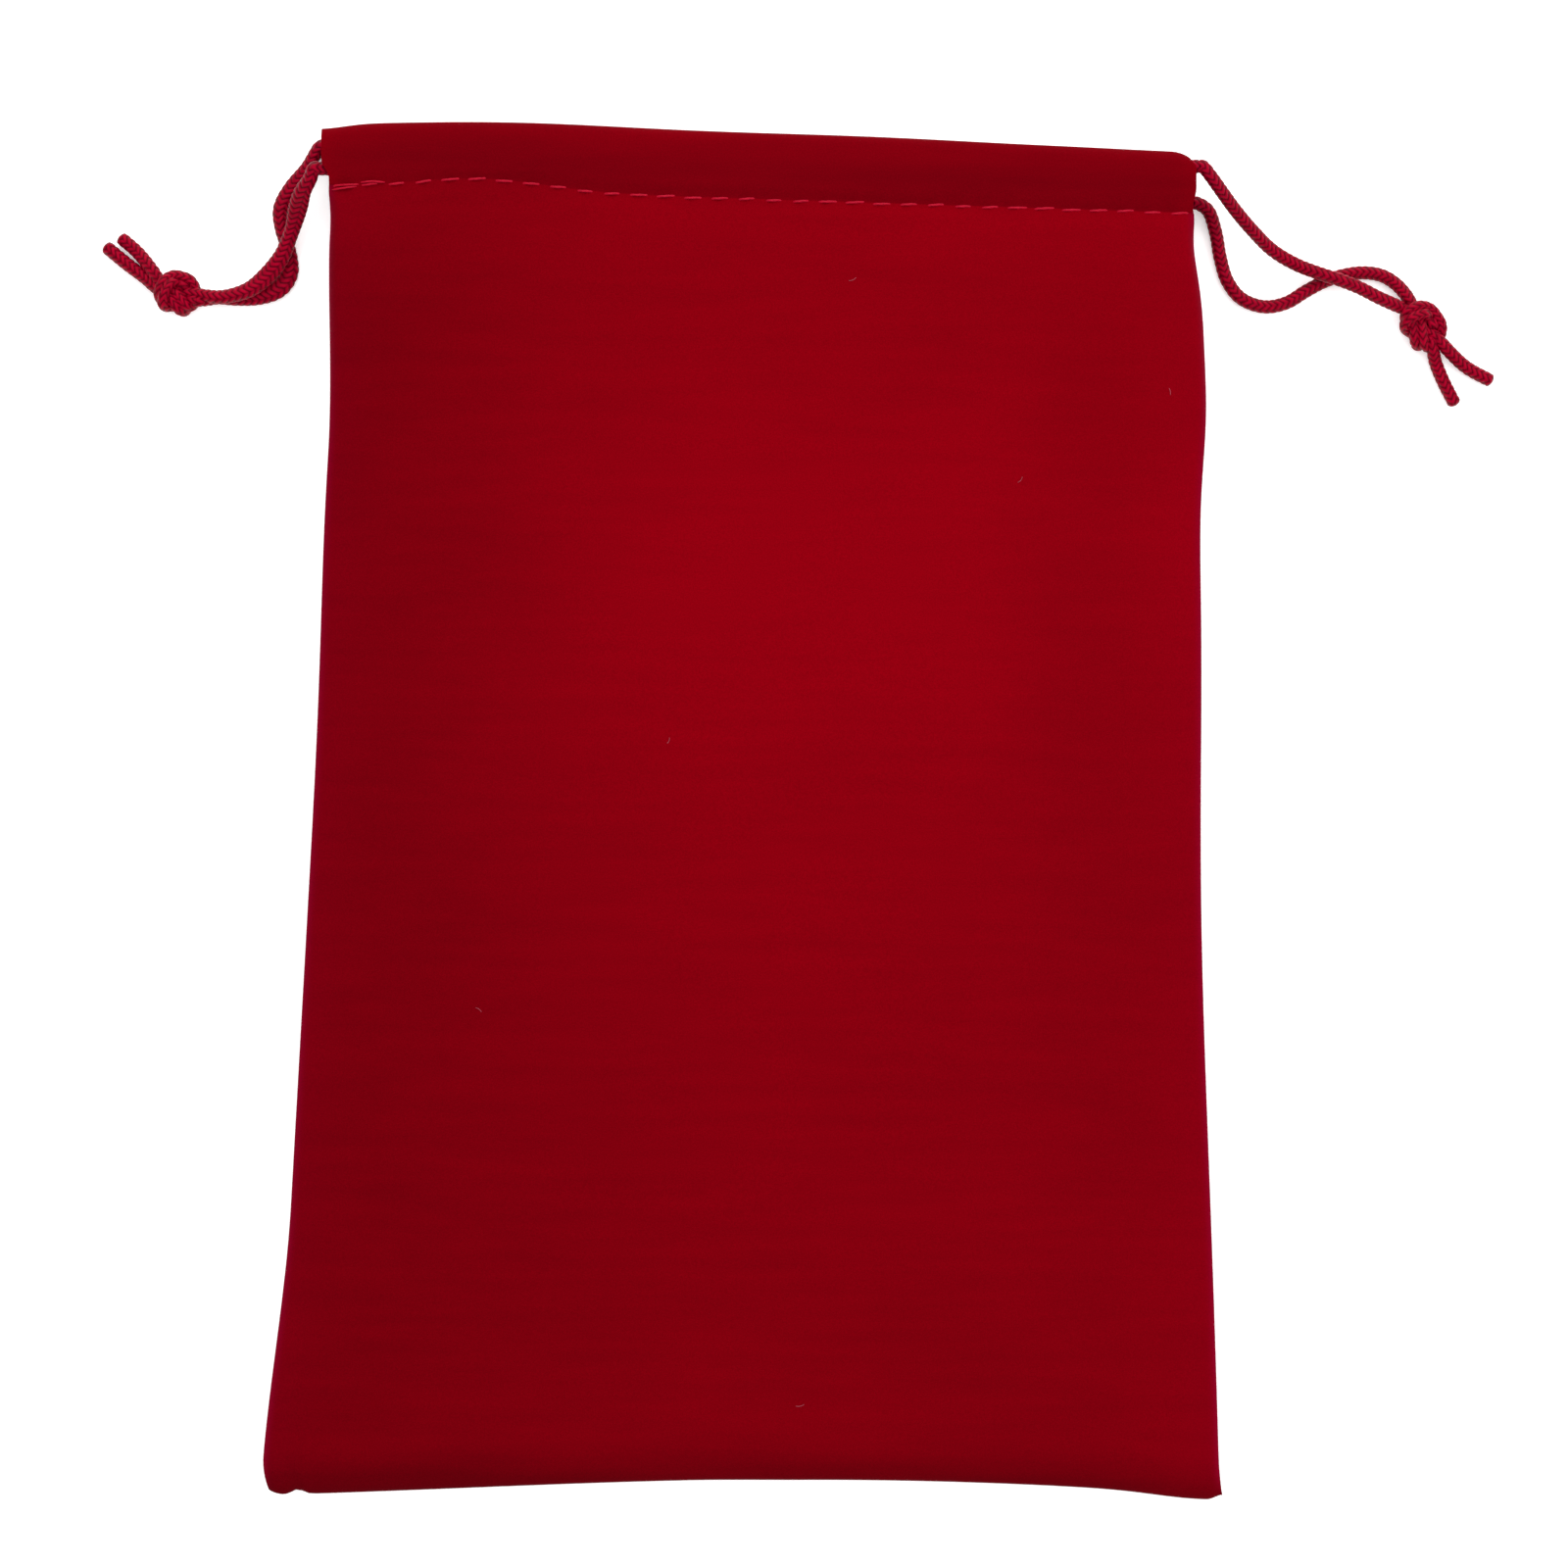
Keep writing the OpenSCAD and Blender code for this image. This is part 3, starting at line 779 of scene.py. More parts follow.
def thread_bar(middle, way, length, width, thick):
    """One stitch: a twisted thread whose ends go down into the cloth."""
    rings, around = 13, 12
    t = np.linspace(-1, 1, rings)
    a = np.linspace(0, 2 * np.pi, around, endpoint=False)
    across = np.array([-way[1], way[0], 0.0])
    swell = np.sqrt(np.clip(1 - np.abs(t) ** 6, 0.02, 1))
    points = []
    for i in range(rings):
        ply = 1 + 0.1 * np.cos(2 * a - t[i] * length * 2.4)
        centre = np.array(middle) + np.array([*way, 0.0]) * t[i] * length / 2
        centre[2] -= 0.3 * abs(t[i]) ** 3
        ring = centre + across * (width / 2 * swell[i] * ply * np.cos(a))[:, None]
        ring[:, 2] += thick / 2 * swell[i] * ply * np.sin(a)
        points.append(ring)
    return np.vstack(points), tube_faces(rings, around)


def hem_bar(front, middle, way, length, width, thick):
    """One stitch of a hem, whose ends go up into the cloth on the back."""
    points, faces = thread_bar(middle, way, length, width, thick)
    if not front:
        points[:, 2] = 2 * middle[2] - points[:, 2]
    return points, faces


def hem_row(front):
    """Stitches along the hem, as (x, part) pairs."""
    sizes = bpy.context.scene.sack_sizes
    length, width = sizes.stitch_length / MM, sizes.thread / MM
    left, right = stitch_line(np.array(0.0)), stitch_line(np.array(1.0))
    across = right[0] - left[0]
    z = SACK_TOP - STITCH_SINK + 0.06 if front else STITCH_SINK - 0.04
    bars = []
    for i in range(HEM_STITCHES):
        along = 2.2 + i * (across - 4.4) / (HEM_STITCHES - 1)
        before, at, after = stitch_line(np.array([along - 0.5, along, along + 0.5]) / across)
        slant = math.radians(4 + 18 * WANDER[i % 7])
        turn = np.array([[math.cos(slant), -math.sin(slant)], [math.sin(slant), math.cos(slant)]])
        way = turn @ ((after - before) / np.linalg.norm(after - before))
        middle = (at[0], at[1] + 0.7 * WANDER[(i * 3) % 7], z)
        part = hem_bar(front, middle, way, length * (1 + WANDER[(i * 2) % 7]), width, 0.42)
        bars.append((at[0], part))
    return bars


def lock_row(front):
    """Stitches sewn over the first ones, forwards and back, to lock the thread."""
    width = bpy.context.scene.sack_sizes.thread / MM * 0.8
    left = stitch_line(np.array(0.0))
    z = SACK_TOP - STITCH_SINK + 0.3 if front else STITCH_SINK - 0.12
    bars = []
    for along, up, slant, length in LOCK_STITCHES:
        way = (math.cos(math.radians(slant)), math.sin(math.radians(slant)))
        middle = (left[0] + along, left[1] + up + 0.1 * along, z)
        bars.append(hem_bar(front, middle, way, length, width, 0.34))
    return bars


def seam_bar(line, share, inward, height):
    """One stitch beside a seam's line, in from its edge and up from its height."""
    before, at, after = line(np.array([share - 0.005, share, share + 0.005]))
    way = (after - before) / np.linalg.norm(after - before)
    x, y = at + np.array(inward) * SEAM_STITCH_IN
    return thread_bar((x, y, height + SEAM_STITCH_UP), way, 2.4, 0.4, 0.3)


def side_row(side):
    """Stitches down a side seam, inside the sack."""
    body_mm = body_length()
    bars = []
    for i in range(SIDE_STITCHES):
        up_mm = 6 + i * (body_mm - SLIT - 8) / (SIDE_STITCHES - 1)
        height = float(seam_height(up_mm, body_mm))
        bars.append(seam_bar(lambda up: side_line(side, up), up_mm / body_mm, (-side, 0), height))
    return bars


def bottom_row():
    """Stitches along the bottom seam, inside the sack."""
    shares = [0.02 + 0.96 * i / (BOTTOM_STITCHES - 1) for i in range(BOTTOM_STITCHES)]
    return [seam_bar(bottom_line, share, (0, 1), SEAM_HEIGHT) for share in shares]


def thread_piece(name, parts, node):
    """A row of stitches, which stands for the CAD's row."""
    points, faces = joined(parts)
    piece = mesh_piece(name, points, faces, material_for("thread"))
    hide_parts(node)
    return piece


# ------------------------------------------------------------- turned-in seams


def turned_in(edge, inward, start, heights):
    """Two layers of cloth turned in along an edge, the lower one a little narrower."""
    seam_width = bpy.context.scene.sack_sizes.seam_width / MM
    inward = np.array(inward)
    layers = []
    for lift, narrower in ((0.55, 0.0), (-0.1, 0.5)):
        outside = edge + inward * start
        inside = edge + inward * (start + seam_width - narrower)
        rows = np.array([
            np.column_stack([line, heights + lift])
            for line in (outside, outside * 0.6 + inside * 0.4, inside)
        ])
        layers.append(thicken(rows, 0.6, outward_up=True)[:2])
    return layers


def side_layers(side):
    body_mm = body_length()
    up = np.linspace(0.035, (body_mm - SLIT - 0.5) / body_mm, 90)
    return turned_in(side_line(side, up), (-side, 0), 1.0, seam_height(up * body_mm, body_mm))


def bottom_layers():
    share = np.linspace(0.065, 0.935, 90)
    return turned_in(bottom_line(share), (0, 1), 1.2, np.full(len(share), SEAM_HEIGHT))


def turned_seam(word, layers):
    """The cloth turned in at one seam."""
    points, faces = joined(layers)
    cloth = mesh_piece(f"{word}_turned_seam", points, faces, material_for("velvet"))
    # Painted shade: the turned-in cloth is given a low even painted light and no painted sheen.
    write_values(cloth, "painted_light", np.full(len(points), 0.2))
    write_values(cloth, "painted_sheen", np.zeros(len(points)))
    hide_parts(f"{word}_seam_allowance")
    return cloth


# ----------------------------------------------------------------- drawstrings

# Where the cords run in the casings: down from the fold, and the heights of their middles
UPPER_RUN, LOWER_RUN = 2.8, 7.7
BACK_RUN_Z, FRONT_RUN_Z = 1.9, 10.7
# From a far loop to the casing's end
LOOP_GAP = 1.0
# Points along and round a cord, and columns of the braid's floats round it
CORD_STEP, CORD_SIDES, BRAID_COLUMNS = 0.13, 36, 8
# How much longer than the drawn distance the cord in a knot is, in cord gaps
KNOT_SLACK = 9.5
# A cord's width that is pressed flat in a knot, and the length over which its end is sealed
KNOT_SQUEEZE, SEALED_LENGTH = 0.17, 0.7

# Each strand's run in its casing, and its free route: across and along from its exit, with
# the clearance under it
ROUTES = {
    ("left", "front"): (
        LOWER_RUN, FRONT_RUN_Z,
        [(-1.4, -1.7, 9), (-2.7, -3.6, 7.8), (-3.7, -6, 5.8), (-4.6, -8.6, 4),
         (-5.6, -11.1, 3), (-6.8, -13.7, 2.5), (-9, -16.5, 1.9), (-12.1, -19.1, 1.9),
         (-15.5, -20.3, 2.2), (-18, -20.5, 2.2)],
    ),
    ("left", "back"): (
        UPPER_RUN, BACK_RUN_Z,
        [(-2.9, -3.5, 0.3), (-5.6, -6.9, 0), (-7.4, -10.5, 0), (-7.2, -13.6, 0),
         (-6.4, -16.2, 0), (-5.9, -18.7, 0), (-6, -21.2, 0), (-7.7, -23.6, 0),
         (-11, -25, 0), (-14.8, -25.4, 0.1), (-18, -25.3, 0.3)],
    ),
    ("right", "front"): (
        UPPER_RUN, FRONT_RUN_Z,
        [(1.9, -1.5, 9.4), (3.9, -3.9, 8), (6.4, -6.8, 6), (9.4, -9.8, 3.8), (13.1, -12.9, 1.4),
         (17, -15.2, 1.2), (21, -17, 2.8), (24.2, -18.1, 3.2), (27.4, -19.3, 2.8),
         (30.8, -21, 2.6)],
    ),
    ("right", "back"): (
        LOWER_RUN, BACK_RUN_Z,
        [(2.5, -1.2, 0.4), (3.8, -4.7, 0), (4.6, -9.1, 0), (5.8, -13, 0),
         (8.1, -15.9, 0), (11.9, -17.3, 0), (15.6, -16.7, 0), (19, -14.7, 0),
         (21.8, -13.2, 0), (25, -12.1, 0), (28.6, -11.6, 0), (31.8, -12.1, 0),
         (34.4, -13.8, 0.2)],
    ),
}
# Where a bend slackens the braid and the cord lies flatter: along from its exit, the reach
# and how much wider it gets
SLACK_BRAID = {
    ("left", "front"): [(8, 4, 0.42), (21, 6, 0.34)],
    ("left", "back"): [(11, 4.5, 0.22), (27, 6, 0.46)],
}
# Each knot's place from the upper cord's exit, its turn and roll, how long it's drawn, which
# strands go in at either side of it, and its ends: points from its middle, with their clearance
KNOTS = {
    "left": {
        "at": (-24.2, -24.7), "turn": 165, "roll": 180, "long": 0.92, "order": ("back", "front"),
        "tails": {
            "front": ("upper", [(-4.7, 4, 1.2), (-7.2, 7, 0.2), (-10.3, 9.7, 0)]),
            "back": ("lower", [(-5.6, 2.5, 0.4), (-8.9, 5, 0), (-12.8, 8.2, 0)]),
        },
    },
    "right": {
        "at": (38.3, -25.7), "turn": -53, "roll": 0, "long": 1.1, "order": ("front", "back"),
        "tails": {
            "back": ("upper", [(4.7, -4.3, 0.8), (7.5, -6.7, 0.1), (11.9, -9.1, 0)]),
            "front": ("lower", [(2.3, -5.9, 0.2), (3.6, -9, 0), (5.7, -13.1, 0)]),
        },
    },
}


def tie_knot(gap, slack):
    """Two cords side by side in an overhand knot, drawn tight until they touch.

    Each cord is a chain of links. Its ends are drawn apart little by little, while points that
    come closer than the gap push each other away, bends are eased and links keep their length.
    """
    link, steps = 0.44 * gap, 620
    push, bend_ease, link_rounds = 1.3, 0.12, 6
    t = np.linspace(-2.02, 2.02, 80)
    core = np.stack([t**3 - 3 * t, t**4 - 4 * t**2 + 1.5, 0.14 * (t**5 - 10 * t)], 1) * 1.56 * gap
    leg = np.linspace(0, 1, 22)[1:, None]
    reach = 10.7 * gap
    start, end = core[0], core[-1]
    left = start + leg[::-1] * (np.array([start[0] - reach, 0, 0]) - start)
    right = end + leg * (np.array([end[0] + reach, 0, 0]) - end)
    one = even_line(np.vstack([left, core, right]), link)
    count = len(one)
    p = np.vstack([one, one + np.array([0, gap, 0])])
    strand, place = np.repeat([0, 1], count), np.tile(np.arange(count), 2)
    same = (strand[:, None] == strand) & (np.abs(place[:, None] - place) <= math.ceil(gap / link) + 1)
    i, j = np.triu_indices(2 * count, 1)
    apart = ~same[i, j]
    i, j = i[apart], j[apart]
    ends = np.array([0, count - 1, count, 2 * count - 1])
    first = p[ends].copy()
    last = first.copy()
    half = (link * (count - 1) - slack * gap) / 2
    last[:, 0] = (one[0, 0] + one[-1, 0]) / 2 + np.array([-1, 1, -1, 1]) * half
    last[:, 1] = np.array([-1, -1, 1, 1]) * gap * 0.55
    last[:, 2] = 0
    for step in range(steps):
        p[ends] = first + (last - first) * min(1, step / (0.75 * steps))
        away = p[i] - p[j]
        near = np.linalg.norm(away, axis=1)
        hit = near < gap
        shove = away[hit] * ((gap - near[hit]) / 2 / np.maximum(near[hit], 1e-6))[:, None]
        moved, touches = np.zeros_like(p), np.zeros(len(p))
        np.add.at(moved, i[hit], shove)
        np.add.at(moved, j[hit], -shove)
        np.add.at(touches, i[hit], 1)
        np.add.at(touches, j[hit], 1)
        p += push * moved / np.maximum(touches, 1)[:, None]
        for base in (0, count):
            chain = p[base : base + count]
            chain[1:-1] += bend_ease * ((chain[:-2] + chain[2:]) / 2 - chain[1:-1])
        for _ in range(link_rounds):
            for base in (0, count):
                for odd in (0, 1):
                    a = np.arange(base + odd, base + count - 1, 2)
                    between = p[a + 1] - p[a]
                    size = np.linalg.norm(between, axis=1)[:, None]
                    change = between / size * (size - link) / 2
                    p[a] += change
                    p[a + 1] -= change
    middle = p[ends].mean(0)
    return p[:count] - middle, p[count:] - middle


def turned(angle, axis):
    """The matrix that turns points by an angle in degrees round X or Z."""
    c, s = math.cos(math.radians(angle)), math.sin(math.radians(angle))
    if axis == "X":
        return np.array([[1, 0, 0], [0, c, -s], [0, s, c]])
    return np.array([[c, -s, 0], [s, c, 0], [0, 0, 1]])


def knot_in_place(knots, side, gap):
    """The knot's two cords moved to their place on the floor, and that place."""
    spec = KNOTS[SIDES[side]]
    at = mouth_end(side, UPPER_RUN) + np.array(spec["at"])
    cords = []
    for line in knots:
        line = line * [spec["long"], 1, 1]
        inside = (line[:, 0] > -2.9 * gap) & (line[:, 0] < 2.5 * gap)
        first, last = np.argmax(inside), len(inside) - 1 - np.argmax(inside[::-1])
        kept = turned(spec["roll"], "X") @ line[first : last + 1].T
        cords.append((turned(spec["turn"], "Z") @ kept).T)
    # The middle of the bulk, not of the legs, sits at the knot's place.
    bulk = np.vstack(cords)
    low, high = bulk.min(0), bulk.max(0)
    middle = [(low[0] + high[0]) / 2, (low[1] + high[1]) / 2, low[2]]
    return [c - middle + [*at, 0.56 * gap + 0.22] for c in cords], at


def sweep(line, radius, run, pitch, around, braid=True, widen=None):
    """Rings of a cord along a line, and how high each point stands in its braid.

    Widen makes the cord wider by that share, and as much flatter.
    """
    ways = np.gradient(line, axis=0)
    ways /= np.linalg.norm(ways, axis=1, keepdims=True)
    across = np.zeros_like(line)
    first = np.cross(ways[0], [0, 0, 1])
    across[0] = first / np.linalg.norm(first)
    for k in range(1, len(line)):
        v = across[k - 1] - ways[k] * np.dot(across[k - 1], ways[k])
        across[k] = v / np.linalg.norm(v)
    up = np.cross(ways, across)
    a = np.linspace(0, 2 * np.pi, around, endpoint=False)
    column = a * BRAID_COLUMNS / (2 * np.pi)
    zigzag = np.abs((column % 2) - 1)
    phase = (run[:, None] / pitch + 0.85 * zigzag[None, :]) % 1
    float_top = 1 - np.abs(2 * phase - 1) ** 2.6
    crease = 1 - 0.35 * np.abs(2 * (column % 1) - 1)[None, :] ** 6
    crown = float_top * crease
    relief = 1.05 - 0.18 * (1 - crown) if braid else np.ones_like(crown)
    rings = (radius[:, None] * relief)[..., None] * (
        np.cos(a)[None, :, None] * across[:, None, :] + np.sin(a)[None, :, None] * up[:, None, :]
    )
    if widen is not None:
        level = np.cross(ways, [0, 0, 1])
        level /= np.maximum(np.linalg.norm(level, axis=1, keepdims=True), 1e-6)
        rise = np.cross(level, ways)
        for direction, scale in ((level, widen), (rise, 1 / widen)):
            part = np.einsum("ijk,ik->ij", rings, direction) * (scale - 1)[:, None]
            rings = rings + part[..., None] * direction[:, None, :]
    return line[:, None, :] + rings, crown


def cord_piece(name, parts):
    """One closed mesh from stretches of rings, each (rings, crown)."""
    points, faces, crowns, start = [], [], [], 0
    for rings, crown in parts:
        count, around = crown.shape
        points.append(rings.reshape(-1, 3))
        crowns.append(crown.ravel())
        faces += [list(f) for f in grid_faces(count, around, start, around=True)]
        points.append(np.array([rings[0].mean(0), rings[-1].mean(0)]))
        crowns.append(np.zeros(2))
        size = count * around
        for k in range(around):
            n = (k + 1) % around
            faces.append([start + n, start + k, start + size])
            faces.append([start + size - around + k, start + size - around + n, start + size + 1])
        start += size + 2
    piece = mesh_piece(name, np.vstack(points), faces, material_for("cord"))
    write_values(piece, "crown", np.concatenate(crowns))
    return piece


def sealed_end(radius, run, reach):
    """The radius closes over its last reach, as a heat-sealed cord end does."""
    left = np.clip((run[-1] - run) / reach, 0, 1)
    return radius * np.sqrt(np.clip(1 - (1 - left) ** 2.2, 0.04, 1))


def casing_exit(side, face):
    """Where a drawstring's strand leaves the front or back casing."""
    depth, height, _route = ROUTES[SIDES[side], face]
    return np.array([*mouth_end(side, depth), height])


def casing_run(side, face, thick):
    """Half of a drawstring inside the sack: from the middle of its far loop to its exit."""
    way = side * np.array([TILT_COS, -TILT_SIN, 0])
    front, back = casing_exit(side, "front"), casing_exit(side, "back")
    front_depth, back_depth = ROUTES[SIDES[side], "front"][0], ROUTES[SIDES[side], "back"][0]
    loop_radius = np.linalg.norm((front - back)[1:]) / 2
    turn_along = MOUTH_LENGTH / 2 - LOOP_GAP - thick / 2 - loop_radius
    turn = np.array([
        *mouth_point(-side * turn_along, (front_depth + back_depth) / 2),
        (FRONT_RUN_Z + BACK_RUN_Z) / 2,
    ])
    reach = np.array([*mouth_point(-side * turn_along, front_depth), FRONT_RUN_Z]) - turn
    sign = 1 if face == "front" else -1
    bend = [
        turn + sign * reach * math.cos(a) - way * loop_radius * math.sin(a)
        for a in np.linspace(math.pi / 2, 0, 8)
    ]
    to_exit = casing_exit(side, face) - bend[-1]
    return [*bend, *(bend[-1] + to_exit * k for k in np.linspace(0, 1, 14)[1:])]


def half_line(side, face, held, knot_at, thick):
    """The middle line of half a drawstring: in its casing, free, in the knot and past it."""
    way = side * np.array([TILT_COS, -TILT_SIN, 0])
    leaves = casing_exit(side, face)
    route, tail = ROUTES[SIDES[side], face][2], KNOTS[SIDES[side]]["tails"][face][1]
    lying = 0.53 * thick
    free = [np.array([leaves[0] + x, leaves[1] + y, lying + z]) for x, y, z in route]
    end = [np.array([knot_at[0] + x, knot_at[1] + y, lying + z]) for x, y, z in tail]
    points = [*casing_run(side, face, thick), leaves + way * 0.6, *free, *held, *end]
    return smooth_line(np.array(points), CORD_STEP)


def drawstring(side, knots):
    """A whole drawstring: both runs and their far loop, two strands, knot and ends."""
    sizes = bpy.context.scene.sack_sizes
    word = SIDES[side]
    thick, gap, pitch = sizes.cord / MM, sizes.knot_cord / MM, sizes.braid_pitch / MM
    knot_cords, knot_at = knot_in_place(knots, side, gap)
    runs, knotted, tails, strands = [], [], {}, {}
    for held, face in zip(knot_cords, KNOTS[word]["order"]):
        line = half_line(side, face, held, knot_at, thick)
        run = run_along(line)
        at_exit, knot_in, knot_out = (
            int(np.argmin(np.linalg.norm(line - point, axis=1)))
            for point in (casing_exit(side, face), held[0], held[-1])
        )
        in_knot = ease((run - run[knot_in] + 2.4) / 2.4) * ease((run[knot_out] + 2.4 - run) / 2.4)
        radius = sealed_end(thick / 2 * (1 - KNOT_SQUEEZE * in_knot), run, SEALED_LENGTH)
        widen = np.ones(len(run))
        for along, reach, more in SLACK_BRAID.get((word, face), []):
            widen += more * bell(run, run[at_exit] + along, reach)
        rings, crown = sweep(line, radius, run, pitch, CORD_SIDES, widen=widen)
        in_casing, free = slice(0, at_exit + 1), slice(at_exit, knot_in + 1)
        tied, past = slice(knot_in, knot_out + 1), slice(knot_out, None)
        runs.append((rings[in_casing], crown[in_casing]))
        strands[face] = ((rings[free], crown[free]), line[free])
        knotted.append((rings[tied], crown[tied]))
        tails[KNOTS[word]["tails"][face][0]] = (rings[past], crown[past])
    loop = cord_piece(f"{word}_cord_run", runs)
    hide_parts(f"{word}_cord_loop")
    knot = cord_piece(f"{word}_overhand_knot", knotted)
    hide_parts(f"{word}_knot")
    ends = []
    for tail_word, part in tails.items():
        ends.append(cord_piece(f"{word}_{tail_word}_end", [part]))
        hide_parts(f"{word}_{tail_word}_tail")
    for piece in (loop, knot, *ends):
        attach(piece, f"{word}_drawstring")
    for face, (part, line) in strands.items():
        piece = cord_piece(f"{word}_{face}_cord", [part])
        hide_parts(f"{word}_{face}_strand")
        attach(piece, f"{word}_drawstring")


# ------------------------------------------------------------------------ stage

# The camera looks straight down from over the sack's middle. Places here are in metres.
CAMERA_PLACE, LENS_MM, SENSOR_MM = (0.00687, 0.00442, 0.733), 100, 36
FLOOR_HALF, FLOOR_DROP = 2.0, 0.00005
WORLD_LIGHT = 0.85
# Name, place, width and watts
SOFTBOXES = (
    ("Mouth softbox", (0.05, 0.9, 0.75), 0.9, 9.0),
    ("Right softbox", (0.8, -0.1, 0.8), 0.7, 3.2),
    ("Top softbox", (-0.1, 0.1, 1.4), 1.0, 6.0),
)


def add_camera(scene):
    data = bpy.data.cameras.new("Overhead camera")
    data.lens, data.sensor_width = LENS_MM, SENSOR_MM
    data.clip_start, data.clip_end = 0.01, 20
    camera = bpy.data.objects.new("Overhead camera", data)
    camera.location = CAMERA_PLACE
    scene.collection.objects.link(camera)
    scene.camera = camera


def add_floor():
    corners = [(x * FLOOR_HALF, y * FLOOR_HALF, -FLOOR_DROP) for x, y in ((-1, -1), (1, -1), (1, 1), (-1, 1))]
    floor = mesh_piece("floor", np.array(corners) / MM, [(0, 1, 2, 3)], floor_material())


def add_world(scene):
    world = bpy.data.worlds.new("White studio")
    world.use_nodes = True
    background = world.node_tree.nodes["Background"]
    background.inputs["Color"].default_value = (1, 1, 1, 1)
    background.inputs["Strength"].default_value = WORLD_LIGHT
    scene.world = world
    scene.view_settings.view_transform = "Standard"


def add_softbox(scene, name, place, size, power):
    """A square light that faces the middle of the sack."""
    light = bpy.data.lights.new(name, "AREA")
    light.shape, light.size, light.energy = "SQUARE", size, power
    lamp = bpy.data.objects.new(name, light)
    lamp.location = place
    pitch = math.acos(place[2] / np.linalg.norm(place))
    lamp.rotation_euler = (pitch, 0, math.atan2(place[1], place[0]) + math.pi / 2)
    scene.collection.objects.link(lamp)


# ------------------------------------------------------------------------- lint

# Each fibre's place, as shares across and up the body, its turn and its length
LINT = (
    (0.60, 0.94, 0.4, 1.3), (0.955, 0.865, 1.9, 1.6), (0.79, 0.79, 0.9, 1.2),
    (0.56, 0.06, 0.2, 1.4), (0.2, 0.37, 2.5, 1.2), (0.4, 0.58, 1.2, 1.0),
)
LINT_RADIUS, LINT_LIFT, LINT_SIDES = 0.04, 0.07, 8


def lint_fibre(across, up, turn, length):
    """A slightly bent fibre lying on the front."""
    body_mm = body_length()
    t = np.linspace(-0.5, 0.5, 14)
    spot = body_point(np.array(across), np.array(up))
    x = spot[0] + length * t * math.cos(turn) - 0.5 * length * t**2 * math.sin(turn)
    y = spot[1] + length * t * math.sin(turn) + 0.5 * length * t**2 * math.cos(turn)
    in_side = np.full(len(t), min(across, 1 - across) * PANEL_WIDE)
    z = body_height(True, in_side, np.full(len(t), up * body_mm), body_mm, x, y) + LINT_LIFT
    line = np.column_stack([x, y, z])
    radius = np.full(len(t), LINT_RADIUS)
    rings, _crown = sweep(line, radius, run_along(line), 1.0, LINT_SIDES, braid=False)
    return rings.reshape(-1, 3), tube_faces(len(t), LINT_SIDES)


# -------------------------------------------------------------------- operators


class GIFT_SACK_OT_stage(bpy.types.Operator):
    """Camera straight above the sack, a white floor and soft studio light"""

    bl_idname = "gift_sack.stage"
    bl_label = "Stage"

    def execute(self, context):
        add_camera(context.scene)
        add_floor()
        add_world(context.scene)
        for softbox in SOFTBOXES:
            add_softbox(context.scene, *softbox)
        return {"FINISHED"}


class GIFT_SACK_OT_drawstrings(bpy.types.Operator):
    """Both braided drawstrings, with their knots and ends"""

    bl_idname = "gift_sack.drawstrings"
    bl_label = "Drawstrings"

    def execute(self, context):
        knots = tie_knot(context.scene.sack_sizes.knot_cord / MM, KNOT_SLACK)
        for side in (LEFT, RIGHT):
            drawstring(side, knots)
        return {"FINISHED"}


class GIFT_SACK_OT_front_cloth(bpy.types.Operator):
    """The velvet front with its hem"""

    bl_idname = "gift_sack.front_cloth"
    bl_label = "Front cloth"

    def execute(self, context):
        cloth_panel(front=True)
        return {"FINISHED"}


class GIFT_SACK_OT_back_cloth(bpy.types.Operator):
    """The velvet back with its hem"""

    bl_idname = "gift_sack.back_cloth"
    bl_label = "Back cloth"

    def execute(self, context):
        cloth_panel(front=False)
        return {"FINISHED"}


class GIFT_SACK_OT_hem_stitches(bpy.types.Operator):
    """The hems' stitching and the doubled stitches that lock it"""

    bl_idname = "gift_sack.hem_stitches"
    bl_label = "Hem stitches"

    def execute(self, context):
        for front in (True, False):
            word = "front" if front else "back"
            bars = hem_row(front)
            for side in (LEFT, RIGHT):
                parts = [part for x, part in bars if (x < MOUTH_MIDDLE[0]) == (side == LEFT)]
                piece = thread_piece(f"{word}_hem_stitches_{SIDES[side]}", parts, f"{word}_hem_thread")
                mouth_blend(piece)
            lock = thread_piece(f"{word}_lock_stitches", lock_row(front), f"{word}_back_tack")
            mouth_blend(lock)
        return {"FINISHED"}


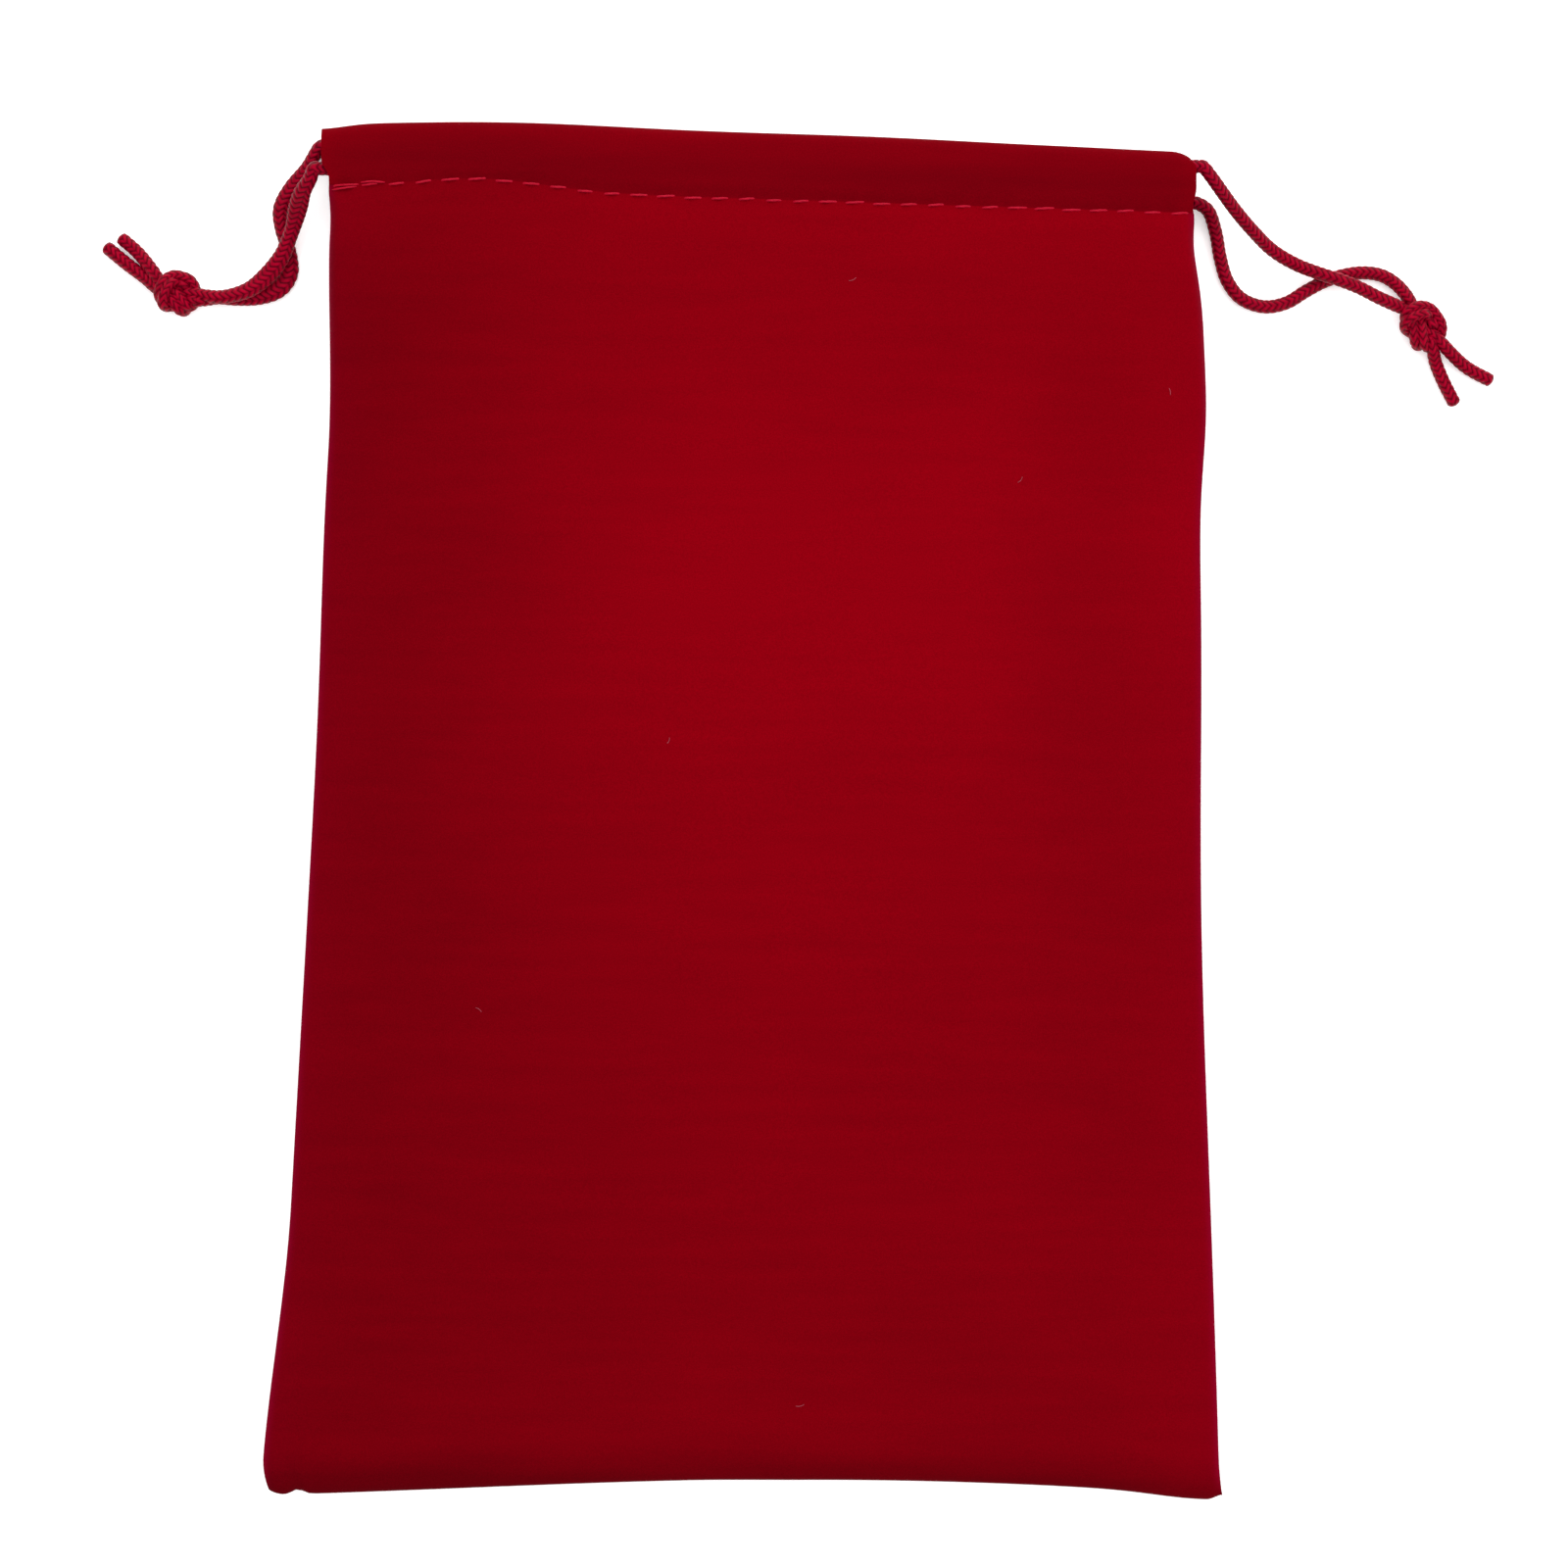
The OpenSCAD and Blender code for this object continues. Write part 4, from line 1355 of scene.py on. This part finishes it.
class GIFT_SACK_OT_seams(bpy.types.Operator):
    """Cloth turned in at the side and bottom seams, and its stitching"""

    bl_idname = "gift_sack.seams"
    bl_label = "Seams"

    def execute(self, context):
        for side in (LEFT, RIGHT):
            word = SIDES[side]
            cloth = turned_seam(word, side_layers(side))
            thread = thread_piece(f"{word}_seam_stitches", side_row(side), f"{word}_seam_thread")
            mouth_blend(cloth)
            mouth_blend(thread)
        cloth = turned_seam("bottom", bottom_layers())
        thread = thread_piece("bottom_seam_stitches", bottom_row(), "bottom_seam_thread")
        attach(cloth, "sack")
        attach(thread, "sack")
        return {"FINISHED"}


class GIFT_SACK_OT_lint(bpy.types.Operator):
    """A few loose fibres lying on the velvet"""

    bl_idname = "gift_sack.lint"
    bl_label = "Lint"

    def execute(self, context):
        points, faces = joined([lint_fibre(*fibre) for fibre in LINT])
        fibres = mesh_piece("lint_fibres", points, faces, material_for("lint"))
        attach(fibres, "sack")
        return {"FINISHED"}


STEPS = (
    GIFT_SACK_OT_stage, GIFT_SACK_OT_drawstrings, GIFT_SACK_OT_front_cloth, GIFT_SACK_OT_back_cloth,
    GIFT_SACK_OT_hem_stitches, GIFT_SACK_OT_seams, GIFT_SACK_OT_lint,
)


class GIFT_SACK_PT_panel(bpy.types.Panel):
    """Buttons that build the gift sack"""

    bl_idname = "GIFT_SACK_PT_panel"
    bl_label = "Gift Sack"
    bl_space_type = "VIEW_3D"
    bl_region_type = "UI"
    bl_category = "Gift Sack"

    def draw(self, context):
        for step in STEPS:
            self.layout.operator(step.bl_idname)
        for settings in (context.scene.sack_sizes, context.scene.sack_colours):
            box = self.layout.box()
            for name in settings.__annotations__:
                box.prop(settings, name)


CLASSES = (SackSizes, SackColours, *STEPS, GIFT_SACK_PT_panel)


def register():
    for item in CLASSES:
        bpy.utils.register_class(item)
    bpy.types.Scene.sack_sizes = bpy.props.PointerProperty(type=SackSizes)
    bpy.types.Scene.sack_colours = bpy.props.PointerProperty(type=SackColours)


def unregister():
    del bpy.types.Scene.sack_colours
    del bpy.types.Scene.sack_sizes
    for item in reversed(CLASSES):
        bpy.utils.unregister_class(item)


def main():
    """Build every piece."""
    register()
    for step in STEPS:
        group, name = step.bl_idname.split(".")
        getattr(getattr(bpy.ops, group), name)()


if __name__ == "__main__":
    main()
